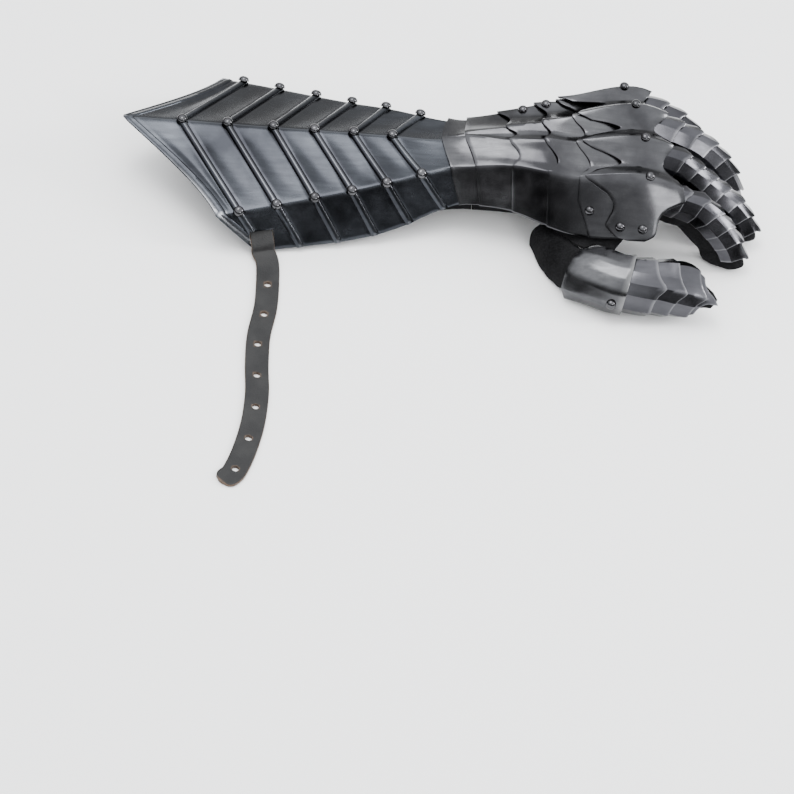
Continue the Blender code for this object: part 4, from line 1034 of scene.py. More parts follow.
class Spine:
    """A smooth line in space with a frame: ahead, across and up."""

    def __init__(self, points: Sequence[Vector], roll: float = 0.0, up: Colour = (0.0, 0.0, 1.0)) -> None:
        """Measure the line.

        Args:
            points: what the line passes through.
            roll: turn about the line, in degrees.
            up: the side that the section's ridge faces.
        """
        self.points = [Vector(p) for p in points]
        self.stations = [0.0]
        for a, b in zip(self.points, self.points[1:]):
            self.stations.append(self.stations[-1] + (b - a).length)
        self.length = self.stations[-1]
        self.roll = math.radians(roll)
        self.side = Vector(up).cross(self.at(self.length * 0.3) - self.at(0.0)).normalized()

    def at(self, s: float) -> Vector:
        """Point at a distance along the line."""
        return Vector([smooth_curve(self.stations, [p[i] for p in self.points], s) for i in range(3)])

    def frame(self, s: float) -> Tuple[Vector, Vector, Vector, Vector]:
        """Point and its ahead, across and up directions."""
        ahead = (self.at(s + MM) - self.at(s - MM)).normalized()
        across = (self.side - ahead * self.side.dot(ahead)).normalized()
        across = Matrix.Rotation(self.roll, 3, ahead) @ across
        return self.at(s), ahead, across, ahead.cross(across).normalized()


# Half of a scale's section from its keel down, as shares of the width and the depth, and how far the
# front edge falls back there as a share of the point
HALF_SCALE = ((0.0, 0.0, 0.0), (0.22, 0.075, 0.6), (0.47, 0.34, 0.75), (0.52, 0.68, 1.0))
# Half of the suede finger's section from its top round to below
HALF_STALL = ((0.0, 0.012), (0.24, 0.08), (0.43, 0.36), (0.43, 0.72), (0.24, 0.98))
# Bends of a scale over this angle, in degrees, look like creases
SCALE_CREASE = 20.0


@dataclass
class ScaleMaker:
    """Draws pointed, keeled scales over a finger."""

    resting: Resting
    sheet: float = 0.7 * MM
    across: int = 13
    along: int = 11
    # Width and strength of the painted highlight line along a scale's front edge
    rim_width: float = 0.55 * MM
    rim_highlight: float = 0.3

    def half_place(self, u: float) -> Tuple[float, float, float]:
        """Creased section and curved front edge at u, 0 at the keel and 3 at the side."""
        knots = (0.0, 1.0, 2.0, 3.0)
        k = min(2, int(u))
        out, down = (HALF_SCALE[k][i] + (HALF_SCALE[k + 1][i] - HALF_SCALE[k][i]) * (u - k) for i in (0, 1))
        return out, down, smooth_curve(knots, [row[2] for row in HALF_SCALE], u)

    def mesh(self, name: str, metal: SheetMetal, spine: Spine, start: float, end: float, width: float,
             depth: float, lifts: Sequence[float], size_at: Callable[[float], float],
             point: float, flare: float) -> bpy.types.Mesh:
        """One scale.

        Args:
            name: its mesh's name.
            metal: thickens it.
            spine: the finger's ridge line.
            start: distance along it of the scale's rear edge.
            end: of its point.
            width: of the finger.
            depth: of the finger.
            lifts: heights of the inner face over the finger, evenly spaced from rear to front.
            size_at: the section's size at a distance along the line.
            point: how far the point stands ahead of the front edge's sides.
            flare: how far the point is bent up.

        Returns:
            The mesh.
        """
        places = sampled(0.0, 1.0, len(lifts))
        half = sampled(0.0, 3.0, self.across)
        steps = [(-1, u) for u in reversed(half[1:])] + [(1, u) for u in half]
        rows = []
        for cut in sampled(0.0, 1.0, self.along):
            lift = smooth_curve(places, lifts, cut)
            size = size_at(start + (end - start) * cut)
            row = []
            for side, u in steps:
                out, down, back = self.half_place(u)
                ahead_u = self.half_place(min(3.0, u + 0.05))
                back_u = self.half_place(max(0.0, u - 0.05))
                run = Vector(((ahead_u[0] - back_u[0]) * width, (back_u[1] - ahead_u[1]) * depth))
                run.normalize()
                normal = Vector((-run.y * side, run.x))
                if u == 0.0:
                    normal = Vector((0.0, 1.0))
                s = start + (end - start - back * point) * cut
                origin, _, across, up = spine.frame(s)
                high = lift + flare * cut ** 3 * (1.0 - u / 3.0) ** 1.2
                y = side * out * width * size + normal.x * high
                z = -down * depth * size + normal.y * high
                row.append(origin + across * y + up * z)
            rows.append(row)
        mesh = metal.plate_mesh(name, rows, self.sheet)
        # Painted highlight line along the scale's front edge
        rim = [self.resting.place(p) for p in rows[-1]]
        store_value(mesh, "edge_highlight", lambda p: self.rim_highlight * smooth_step(
            2.0 - min((p - q).length for q in rim) / self.rim_width))
        return mesh


@dataclass
class StallMaker:
    """Draws a finger's suede stall with a sewn seam on each side."""

    resting: Resting
    wall: float = 1.6 * MM
    sides: int = 44
    pucker: float = 0.5 * MM
    clear: float = 0.2 * MM

    def section(self, width: float, depth: float) -> List[Tuple[float, float]]:
        """Closed section as (across, down), from the top round the far side and back."""
        knots = [float(k) for k in range(len(HALF_STALL))] + [float(len(HALF_STALL))]
        outs = [row[0] for row in HALF_STALL] + [0.0]
        downs = [row[1] for row in HALF_STALL] + [1.0]
        half = []
        for u in sampled(0.0, knots[-1], self.sides // 2 + 1):
            out, down = max(0.0, smooth_curve(knots, outs, u)), smooth_curve(knots, downs, u)
            half.append((out * width, down * depth))
        return half[:-1] + [(-y, z) for y, z in reversed(half)][:-1]

    def mesh(self, name: str, spine: Spine, width: float, depth: float, cuts: Sequence[float],
             sizes: Sequence[Tuple[float, float]], rings: int,
             mouth: Optional[Callable[[Vector], Vector]] = None) -> bpy.types.Mesh:
        """A stall's mesh.

        Args:
            name: its name.
            spine: the finger's ridge line.
            width: of the suede finger.
            depth: of the suede finger.
            cuts: shares of the length where sizes are given.
            sizes: (width, depth) factors there.
            rings: how many rings to draw.
            mouth: keeps the points of the mouth's rings clear of the hand.

        Returns:
            The mesh in the row frame.
        """
        section = self.section(width, depth)
        outer = []
        for k, cut in enumerate(sampled(cuts[0], cuts[-1], rings)):
            wide = smooth_curve(cuts, [size[0] for size in sizes], cut)
            deep = smooth_curve(cuts, [size[1] for size in sizes], cut)
            origin, _, across, up = spine.frame(cut * spine.length)
            ring = []
            for y, z in section:
                p = origin + across * (y * wide) - up * (z * deep)
                rub = noise.noise(p * 110.0) + 0.5 * noise.noise(p * 260.0)
                low = smooth_step((z / depth - 0.5) * 4.0)
                p = p + (across * (1 if y > 0 else -1) - up * 0.6) * (rub * self.pucker * low)
                ring.append(p)
            outer.append(ring)
        inner = [shrunk(ring, self.wall) for ring in outer[:-1]]
        inner[-1] = [p - (outer[-1][i] - outer[-2][i]) * 0.5 for i, p in enumerate(inner[-1])]
        if mouth is not None:
            for layer in (outer, inner):
                for ring in layer[:rings // 6]:
                    ring[:] = [mouth(p) for p in ring]
        placed = [[[self.resting.place(self.resting.rest(p, clear)) for p in ring] for ring in layer]
                  for layer, clear in ((outer, self.clear), (inner, self.clear + self.wall))]
        return tube_mesh(name, *placed, True)


# Heights of a scale's inner face over its finger: at its rear, and of the first scale of a row
SCALE_SEAT = 0.3 * MM
FIRST_LIFTS = (-0.3 * MM, 0.3 * MM, 0.9 * MM, 1.5 * MM)

# A finger's ridge line: x in shares of the arm's length, across and height as in the sections
FingerRow = namedtuple("FingerRow", "name roll scales path")
FINGER_ROWS = (
    FingerRow("index", 10.0, 6, ((0.905, -0.395, 0.545), (0.965, -0.41, 0.345), (1.005, -0.415, 0.18),
                              (1.040, -0.44, -0.14), (1.065, -0.46, -0.48), (1.077, -0.485, -0.80),
                              (1.080, -0.49, -0.92))),
    FingerRow("middle", 6.0, 7, ((0.905, -0.126, 0.74), (0.965, -0.135, 0.56), (1.000, -0.14, 0.30),
                               (1.037, -0.155, 0.00), (1.075, -0.18, -0.30), (1.103, -0.205, -0.76),
                              (1.106, -0.215, -0.93))),
    FingerRow("ring", 0.0, 7, ((0.900, 0.139, 0.86), (0.965, 0.13, 0.62), (1.012, 0.115, 0.40),
                             (1.050, 0.095, 0.06), (1.072, 0.075, -0.30), (1.080, 0.055, -0.78),
                            (1.082, 0.045, -0.92))),
    FingerRow("little", -6.0, 6, ((0.875, 0.41, 0.73), (0.930, 0.40, 0.58), (0.975, 0.38, 0.36),
                                (1.005, 0.36, 0.08), (1.025, 0.335, -0.30), (1.033, 0.31, -0.76),
                                (1.034, 0.30, -0.88))),
)
THUMB_PATH = ((0.718, -0.41, -0.20), (0.743, -0.68, -0.18), (0.788, -0.87, -0.08), (0.838, -0.99, -0.11),
              (0.873, -1.035, -0.16), (0.932, -1.05, -0.25), (1.000, -1.05, -0.44), (1.018, -1.08, -0.52))


@dataclass
class Fingers:
    """Four fingers, each a suede stall under overlapping pointed scales."""

    surface: PlateSurface
    resting: Resting
    width: float = 19 * MM
    depth: float = 23 * MM
    stall_depth: float = 32 * MM
    gap: float = 0.4 * MM
    lead: float = 25 * MM
    overlap: float = 7 * MM
    bare_tip: float = 6.5 * MM
    point: float = 7 * MM
    flare: float = 1.7 * MM
    tip_size: float = 0.84
    cuts: Tuple[float, ...] = (0.06, 0.2, 0.4, 0.58, 0.75, 0.9, 0.985)

    def spine(self, path: Sequence[Sequence[float]], roll: float, up: Colour = (0.0, 0.0, 1.0)) -> Spine:
        """Line through a table's points."""
        s = self.surface
        return Spine([Vector((p[0] * s.arm_length, p[1] * s.knuckle_breadth, p[2] * s.plate_height))
                      for p in path], roll, up)

    def build(self, metal: SheetMetal, scales: ScaleMaker, stalls: StallMaker, wardrobe: Wardrobe) -> None:
        """Make every finger."""
        for row in FINGER_ROWS:
            spine = self.spine(row.path, row.roll)

            def size_at(s: float) -> float:
                """Size of the finger's section at a distance along it."""
                return 1.0 - (1.0 - self.tip_size) * (s / spine.length) ** 2

            sizes = [(size_at(cut * spine.length), size_at(cut * spine.length)) for cut in self.cuts]
            sizes[-1] = (sizes[-1][0] * 0.8, sizes[-1][1] * 0.6)
            mesh = stalls.mesh("suede_" + row.name, spine, self.width, self.stall_depth, self.cuts, sizes, 34)
            make_piece("suede_" + row.name, mesh, wardrobe.get(Finish.SUEDE),
                       ["stall_" + row.name], 60.0)
            pitch = (spine.length - self.bare_tip - self.lead - self.overlap) / (row.scales - 1)
            for i in range(row.scales):
                start = 0.0 if i == 0 else self.lead + (i - 1) * pitch
                end = self.lead + i * pitch + self.overlap
                high = SCALE_SEAT + (scales.sheet + self.gap) * (pitch + self.overlap) / pitch
                lifts = (SCALE_SEAT, (SCALE_SEAT + high) / 2, high)
                if i == 0:
                    lifts = FIRST_LIFTS + (high,)
                node = "scale_%s_%d" % (row.name, i + 1)
                mesh = scales.mesh(node + "_plate", metal, spine, start, end, self.width, self.depth, lifts,
                                   size_at, self.point, self.flare)
                tint = smooth_step((i - 2.5) / 2.0) if row.name == "index" else 0.0
                store_value(mesh, "heat", lambda p, t=tint: t)
                make_piece(node + "_plate", mesh, wardrobe.get(Finish.SCALE), [node], SCALE_CREASE)


# Suede thumb's rings: share of its length, width and depth as shares of the thumb's
THUMB_RINGS = ((0.0, 1.0, 1.9), (0.16, 1.0, 1.65), (0.33, 1.0, 1.3), (0.49, 1.0, 1.05), (0.62, 1.0, 1.0),
               (0.76, 0.95, 0.97), (0.87, 0.78, 0.85), (0.94, 0.5, 0.6), (0.985, 0.25, 0.35))


@dataclass
class Thumb:
    """Suede thumb under a bell-shaped base plate and four scales."""

    fingers: Fingers
    width: float = 35 * MM
    depth: float = 24 * MM
    base_start: float = 0.30
    base_end: float = 0.585
    tips: Tuple[float, ...] = (0.75, 0.845, 0.94, 1.0)
    point: float = 10 * MM
    flare: float = 0.5 * MM
    taper_length: float = 26 * MM
    taper: float = 0.3
    last_start: float = 0.83
    last_point: float = 18 * MM
    last_lift: float = 1.1 * MM
    wall_share: float = 0.84
    suede_share: float = 0.98
    base_share: float = 1.04
    base_bell: Tuple[float, float] = (1.12, 0.12)
    base_lifts: Tuple[float, ...] = (0.6 * MM, 0.8 * MM, 1.0 * MM, 1.7 * MM, 2.4 * MM)
    # The base plate's rivet: how far behind its front edge, its place in the section and its lift
    rivet_back: float = 7 * MM
    rivet_place: Tuple[float, float] = (0.44, 0.29)
    rivet_lift: float = 3.1 * MM
    # The suede gusset's ends along the hem and along the thumb, and its edge in the thumb's section
    web_hem: Tuple[float, float] = (0.735, 0.865)
    web_thumb: Tuple[float, float] = (0.10, 0.45)
    web_place: Tuple[float, float] = (0.36, 0.25)
    web_steps: int = 12
    web_sheet: float = 1.5 * MM
    web_sag: Tuple[float, float] = (2.5 * MM, 3.0 * MM)
    hem_share: float = 0.93
    hand_gap: float = 0.6 * MM

    def web_mesh(self, metal: SheetMetal, spine: Spine) -> bpy.types.Mesh:
        """Suede gusset between the hand's hem and the thumb."""
        surface = self.fingers.surface
        rows = []
        for t in sampled(0.0, 1.0, self.web_steps):
            row = []
            for k in sampled(0.0, 1.0, self.web_steps):
                x = (self.web_hem[0] + (self.web_hem[1] - self.web_hem[0]) * k) * surface.arm_length
                y, z = surface.line(0, x)
                hem = Vector((x, y * self.hem_share, z - self.web_sheet))
                s = (self.web_thumb[0] + (self.web_thumb[1] - self.web_thumb[0]) * k) * spine.length
                origin, _, across, up = spine.frame(s)
                out, down = self.web_place
                side = origin + across * (out * self.width) - up * (down * self.depth)
                sag = Vector((-self.web_sag[0] * k, 0.0, -self.web_sag[1])) * math.sin(math.pi * t)
                row.append(hem.lerp(side, t) + sag)
            rows.append(row)
        return metal.plate_mesh("suede_web", rows, self.web_sheet, False)

    def build(self, metal: SheetMetal, scales: ScaleMaker, stalls: StallMaker, rivets: RivetSet,
              wardrobe: Wardrobe) -> None:
        """Make the thumb's pieces."""
        fingers = self.fingers
        spine = fingers.spine(THUMB_PATH, 0.0, (0.0, -0.62, 0.78))

        def clear_of_hand(p: Vector) -> Vector:
            """Keep a point of the root outside the hand's wall."""
            wall = fingers.surface.line(0, p.x)[0] * self.wall_share
            return Vector((p.x, min(p.y, wall - self.hand_gap), p.z))

        mesh = stalls.mesh("suede_thumb", spine, self.width * self.suede_share, self.depth,
                           [r[0] for r in THUMB_RINGS], [r[1:] for r in THUMB_RINGS], 40, clear_of_hand)
        make_piece("suede_thumb", mesh, wardrobe.get(Finish.SUEDE), ["stall_thumb"], 60.0)
        make_piece("suede_web", self.web_mesh(metal, spine), wardrobe.get(Finish.SUEDE))
        start, end = spine.length * self.base_start, spine.length * self.base_end

        def base_size(s: float) -> float:
            """Size of the bell-shaped plate's section."""
            wide, less = self.base_bell
            return wide - less * (s - start) / (end - start)

        def thumb_size(s: float) -> float:
            """Size of the thumb's section, drawn in toward its end."""
            left = max(0.0, 1.0 - (spine.length - s) / self.taper_length)
            return 1.0 - self.taper * left ** 2

        mesh = scales.mesh("thumb_base", metal, spine, start, end, self.width * self.base_share, self.depth,
                           self.base_lifts, base_size, 0.0, 0.0)
        make_piece("thumb_base", mesh, wardrobe.get(Finish.PLATE), ["thumb_base_plate"])
        starts = [end - fingers.overlap] + [spine.length * tip - fingers.overlap for tip in self.tips[:-2]]
        starts.append(spine.length * self.last_start)
        for i, (first, tip) in enumerate(zip(starts, self.tips)):
            last = spine.length * tip
            long = last - first
            high = SCALE_SEAT + (scales.sheet + fingers.gap) * long / (long - fingers.overlap)
            node = "scale_thumb_%d" % (i + 1)
            point = self.last_point if tip == self.tips[-1] else self.point
            if tip == self.tips[-1]:
                high = self.last_lift
            mesh = scales.mesh(node + "_plate", metal, spine, first, last, self.width, self.depth,
                               (SCALE_SEAT, (SCALE_SEAT + high) / 2, high), thumb_size, point, self.flare)
            make_piece(node + "_plate", mesh, wardrobe.get(Finish.SCALE), [node], SCALE_CREASE)
        origin, _, across, up = spine.frame(end - self.rivet_back)
        run = Vector(((0.47 - 0.22) * self.width, -(0.34 - 0.05) * self.depth)).normalized()
        outward = (across * run.y + up * run.x).normalized()
        out, down = self.rivet_place
        seat = origin - across * (out * self.width * self.base_share) - up * (down * self.depth)
        seat += outward * self.rivet_lift
        turn = fingers.resting.turn()
        heads = rivets.mesh("thumb_rivet", [(fingers.resting.place(seat), turn @ outward)])
        make_piece("thumb_rivet", heads, wardrobe.get(Finish.RIVET))


@dataclass
class Glove:
    """Suede hand under the plates and suede sleeve inside the cuff, joined at a seam."""

    surface: PlateSurface
    resting: Resting
    wall: float = 1.6 * MM
    wall_share: float = 0.84
    hand_start: float = 240 * MM
    hand_end: float = 351 * MM
    hand_skew: float = 13 * MM
    hand_inset: float = 1.1 * MM
    sleeve_start: float = 114 * MM
    sleeve_slant: float = 16 * MM
    sleeve_inset: float = 1.6 * MM
    seam: float = 0.4 * MM
    palm_x: Tuple[float, ...] = (0.20, 0.36, 0.53, 0.60, 0.70, 0.80, 0.91)
    palm_height: Tuple[float, ...] = (0.05, -0.05, -0.10, -0.14, -0.12, -0.04, 0.06)
    wrinkle: float = 0.5 * MM
    wrinkle_top: float = 12 * MM
    steps: int = 5

    def palm_z(self, x: float) -> float:
        """Height of the suede on the palm side."""
        return smooth_curve([p * self.surface.arm_length for p in self.palm_x],
                            [p * self.surface.plate_height for p in self.palm_height], x)

    def ring(self, lanes: Sequence[float], inset: float, x_at: Callable[[float], float]) -> List[Vector]:
        """Ring of the suede around the hand or the arm.

        Args:
            lanes: where it follows the plates' surface.
            inset: its depth below them.
            x_at: its x in a lane.

        Returns:
            The ring's level points.
        """
        def on_skin(lane: float, depth: float) -> Vector:
            """Point below the plates' surface."""
            return self.surface.lifted(x_at(lane), lane, -depth)

        near, far = x_at(0), x_at(8)
        middle = (near + far) / 2
        walls = [Vector((x, self.surface.line(lane, x)[0] * self.wall_share, self.palm_z(x)))
                 for lane, x in ((8, far), (0, near))]
        palm = Vector((middle, 0.0, self.palm_z(middle) - MM))
        below = [on_skin(7.5, inset + MM), walls[0], palm, walls[1], on_skin(0.5, inset + MM)]
        return [on_skin(lane, inset) for lane in lanes] + below

    def hand_ring(self, x: float) -> List[Vector]:
        """Ring of the suede hand, its little-finger side set back toward the finger ends."""
        skew = self.hand_skew * (x - self.hand_start) / (self.hand_end - self.hand_start)
        return self.ring(range(1, 8), self.hand_inset, lambda lane: x - skew * lane / 8)

    def sleeve_ring(self, x: float) -> List[Vector]:
        """Ring of the suede sleeve, its upper side slanted forward toward the rim."""
        end = self.hand_start - self.seam
        slant = self.sleeve_slant * (end - x) / (end - self.sleeve_start)
        return self.ring((1, 1.65, 2.35, 4, 5.65, 6.35, 7), self.sleeve_inset,
                         lambda lane: x + slant * max(0.0, 1.0 - abs(lane - 4) / 3))

    def tube(self, name: str, rings: Grid) -> bpy.types.Mesh:
        """Subdivided, lightly wrinkled tube over coarse rings."""
        outer = []
        for ring in rings:
            fine = []
            for i, p in enumerate(ring):
                after = ring[(i + 1) % len(ring)]
                for k in range(self.steps):
                    q = p.lerp(after, k / self.steps)
                    free = smooth_step(1.0 - q.z / self.wrinkle_top)
                    rub = noise.noise(q * 60.0) + 0.6 * noise.noise(q * 150.0)
                    outward = Vector((0.0, math.copysign(0.7, q.y), -0.3))
                    fine.append(q + outward * (rub * self.wrinkle * free))
            outer.append(fine)
        inner = [shrunk(ring, self.wall) for ring in outer]
        return tube_mesh(name, [[self.resting.place(p) for p in ring] for ring in outer],
                         [[self.resting.place(p) for p in ring] for ring in inner], False)

    def build(self, wardrobe: Wardrobe) -> None:
        """Make the hand and the sleeve."""
        suede = wardrobe.get(Finish.SUEDE)
        rings = [self.hand_ring(x) for x in sampled(self.hand_start, self.hand_end, 31)]
        make_piece("suede_hand", self.tube("suede_hand", rings), suede, ["glove_hand"], 60.0)
        rings = [self.sleeve_ring(x) for x in sampled(self.sleeve_start, self.hand_start - self.seam, 29)]
        make_piece("suede_sleeve", self.tube("suede_sleeve", rings), suede, ["glove_sleeve"],
                   60.0)


@dataclass
class StrapMaker:
    """Draws flat leather straps with rounded edges, cut through and paler there."""

    resting: Resting
    corner: float = 0.45 * MM

    def section(self, width: float, thickness: float) -> List[Tuple[float, float, float]]:
        """Strap's section as (across, up, whether it is a raw edge)."""
        half, r = width / 2, self.corner
        side = [(half - r, 0.0, 0.0), (half - 0.3 * r, 0.3 * r, 0.6), (half, r, 1.0),
                (half, thickness / 2, 1.0), (half, thickness - r, 1.0),
                (half - 0.3 * r, thickness - 0.3 * r, 0.6), (half - r, thickness, 0.0)]
        top = [(y, thickness, 0.0) for y in (half * 0.75, half * 0.4, 0.0, -half * 0.4, -half * 0.75)]
        low = [(-y, 0.0, 0.0) for y, _, _ in top]
        return side + top + [(-y, z, raw) for y, z, raw in reversed(side)] + low

    def mesh(self, name: str, centre: Sequence[Vector], across: Sequence[Vector], thickness: float,
             width: float, rounding: float = 0.0) -> bpy.types.Mesh:
        """A strap's mesh.

        Args:
            name: its name.
            centre: level points under its middle.
            across: level directions across it at those points.
            thickness: above the centre line.
            width: of the strap.
            rounding: how far before its end it starts to narrow to a round end, or 0.

        Returns:
            The mesh in the row frame, with its raw edges marked.
        """
        rings, marks = [], []
        total = sum((b - a).length for a, b in zip(centre, centre[1:]))
        gone = 0.0
        for i, p in enumerate(centre):
            if i:
                gone += (p - centre[i - 1]).length
            ahead = (centre[min(i + 1, len(centre) - 1)] - centre[max(i - 1, 0)]).normalized()
            side = across[i].normalized()
            up = ahead.cross(side).normalized()
            narrow = 1.0
            if rounding:
                past = min(1.0, max(0.0, 1.0 - (total - gone) / rounding))
                narrow = max(0.12, math.sqrt(1.0 - 0.97 * past ** 2.6))
            rings.append([self.resting.place(p + side * (y * narrow) + up * z)
                          for y, z, _ in self.section(width, thickness)])
            end = 1.0 if i in (0, len(centre) - 1) else 0.0
            marks += [max(raw, end) for _, _, raw in self.section(width, thickness)]
        sides = len(rings[0])
        faces = [tuple(range(sides)), tuple(sides * (len(rings) - 1) + k for k in range(sides))]
        for r in range(len(rings) - 1):
            for k in range(sides):
                n = (k + 1) % sides
                faces.append((r * sides + k, r * sides + n, (r + 1) * sides + n, (r + 1) * sides + k))
        mesh = bpy.data.meshes.new(name)
        mesh.from_pydata([tuple(p) for ring in rings for p in ring], [], faces)
        face_outward(mesh)
        mesh.attributes.new("raw", "FLOAT", "POINT").data.foreach_set("value", marks)
        return mesh


@dataclass
class ForearmStrap:
    """Long strap with seven holes, out of the cuff's slot and loose on the surface it lies on."""

    cuff: Cuff
    reach: float = 220 * MM
    lift: float = 2.7 * MM
    inside: float = -5 * MM
    thickness: float = 2.2 * MM
    width: float = 16 * MM
    first_knot_rise: float = 1.2 * MM
    hole_radius: float = 2.4 * MM
    hole_count: int = 7
    hole_start: float = 6.6 * MM
    hole_pitch: float = 28.6 * MM
    hole_sides: int = 28
    probe: float = 8 * MM
    turn_height: float = 6 * MM
    touch: float = 0.05 * MM
    punch_depth: float = 14 * MM
    round_end: float = 7 * MM
    flank_lanes: Tuple[Tuple[float, bool], ...] = ((0.72, True), (0.52, True), (0.19, False), (0.10, False),
                                                  (0.01, False))
    route: Tuple[Tuple[float, float], ...] = ((0.045, 0.018), (0.116, 0.022), (0.24, 0.018), (0.37, -0.001),
                                             (0.49, -0.004), (0.62, -0.001), (0.77, -0.017),
                                             (0.927, -0.061), (0.97, -0.10))

    def flat(self) -> Vector:
        """Level direction that lies in the surface, along the arm."""
        pitch = self.cuff.resting.pitch
        return Vector((math.cos(pitch), 0.0, -math.sin(pitch)))

    def across(self, centre: Sequence[Vector], lane: float) -> List[Vector]:
        """Across directions of a strap that lies along a flank and then on the surface."""
        surface, x = self.cuff.surface, self.cuff.slot_x
        along = (surface.point(x + self.probe, lane) - surface.point(x - self.probe, lane)).normalized()
        across = []
        for i, point in enumerate(centre):
            ahead = centre[min(i + 1, len(centre) - 1)] - centre[max(i - 1, 0)]
            share = min(1.0, max(0.0, self.cuff.resting.height(point) / self.turn_height))
            side = self.flat().lerp(along, share)
            across.append((side - ahead * (side.dot(ahead) / ahead.length_squared)).normalized())
        return across

    def line(self) -> Spine:
        """The strap's centre line."""
        surface, resting, x = self.cuff.surface, self.cuff.resting, self.cuff.slot_x
        knots = [surface.lifted(x, lane, self.inside if within else self.lift)
                 for lane, within in self.flank_lanes]
        hem_y = surface.line(0, x)[0]
        for out, drift in self.route:
            knots.append(resting.under(x + drift * self.reach, hem_y - out * self.reach))
        knots[len(self.flank_lanes)] += resting.up() * self.first_knot_rise
        return Spine(knots)

    def build(self, straps: StrapMaker, wardrobe: Wardrobe) -> None:
        """Make the strap and punch its holes."""
        line = self.line()
        start = line.stations[2]
        resting = self.cuff.resting
        centre = [line.points[0], line.points[0].lerp(line.points[1], 0.5), line.points[1]]
        centre += [line.at(s) for s in sampled(start, line.length, 150)]
        centre = [resting.rest(p, self.touch) for p in centre]
        mesh = straps.mesh("long_strap", centre, self.across(centre, 0.3), self.thickness, self.width,
                           self.round_end)
        strap = make_piece("long_strap", mesh, wardrobe.get(Finish.LEATHER),
                           ["forearm_strap"], 50.0)
        work = bmesh.new()
        turn = Vector((0, 0, 1)).to_track_quat("Z", "X").to_matrix().to_4x4()
        first = line.stations[len(self.flank_lanes) + 1] + self.hole_start
        centres = [resting.place(line.at(first + k * self.hole_pitch)) for k in range(self.hole_count)]
        for place in centres:
            bmesh.ops.create_cone(work, cap_ends=True, segments=self.hole_sides, radius1=self.hole_radius,
                                  radius2=self.hole_radius, depth=self.punch_depth,
                                  matrix=Matrix.Translation(place) @ turn)
        punch(strap, work)
        mark_hole_walls(strap.data, centres, self.hole_radius)


def punch(obj: bpy.types.Object, work: bmesh.types.BMesh) -> None:
    """Cut an object with a mesh, and free the mesh."""
    bmesh.ops.recalc_face_normals(work, faces=work.faces)
    mesh = bpy.data.meshes.new("punch")
    work.to_mesh(mesh)
    work.free()
    cutter = bpy.data.objects.new("punch", mesh)
    bpy.context.scene.collection.objects.link(cutter)
    cut = obj.modifiers.new("punch", "BOOLEAN")
    cut.operation = "DIFFERENCE"
    cut.solver = "EXACT"
    cut.object = cutter
    modified(obj)
    bpy.data.objects.remove(cutter, do_unlink=True)


def mark_hole_walls(mesh: bpy.types.Mesh, centres: Sequence[Vector], radius: float) -> None:
    """Mark the walls of upright punched holes as raw leather."""
    layer = mesh.attributes["raw"]
    for vert in mesh.vertices:
        if any((vert.co - centre).xy.length < radius * 1.04 for centre in centres):
            layer.data[vert.index].value = 0.7


@dataclass
class PalmStrap:
    """Short strap across the palm, close under the suede."""

    glove: Glove
    x: float = 300 * MM
    clear: float = 0.8 * MM
    thickness: float = 1.8 * MM
    width: float = 15 * MM
    places: Tuple[float, ...] = (10.0, 9.5, 9.0, 8.5, 8.0)
    probe: float = 8 * MM

    def build(self, straps: StrapMaker, wardrobe: Wardrobe) -> None:
        """Make the strap."""
        def on_ring(x: float, place: float) -> Vector:
            """Point just outside the hand's ring."""
            ring = shrunk(self.glove.hand_ring(x), -self.clear)
            whole = int(place)
            return ring[whole].lerp(ring[whole + 1], place - whole)

        centre = [on_ring(self.x, place) for place in self.places]
        across = [on_ring(self.x + self.probe, place) - on_ring(self.x - self.probe, place)
                  for place in self.places]
        mesh = straps.mesh("palm_band", centre, across, self.thickness, self.width)
        make_piece("palm_band", mesh, wardrobe.get(Finish.LEATHER), ["palm_strap"], 50.0)


def wire_mesh(name: str, points: Sequence[Vector], radius: float, cyclic: bool) -> bpy.types.Mesh:
    """Round wire along points.

    Args:
        name: the mesh's name.
        points: its centre line, in the row frame.
        radius: of the wire.
        cyclic: whether it closes on itself.

    Returns:
        The mesh.
    """
    curve = bpy.data.curves.new(name, "CURVE")
    curve.dimensions = "3D"
    curve.bevel_depth = radius
    curve.bevel_resolution = 6
    curve.use_fill_caps = True
    spline = curve.splines.new("POLY")
    spline.points.add(len(points) - 1)
    for place, point in zip(spline.points, points):
        place.co = (*point, 1.0)
    spline.use_cyclic_u = cyclic
    obj = bpy.data.objects.new(name + "_wire", curve)
    bpy.context.scene.collection.objects.link(obj)
    mesh = bpy.data.meshes.new_from_object(obj.evaluated_get(bpy.context.evaluated_depsgraph_get()))
    mesh.name = name
    bpy.data.objects.remove(obj, do_unlink=True)
    return mesh


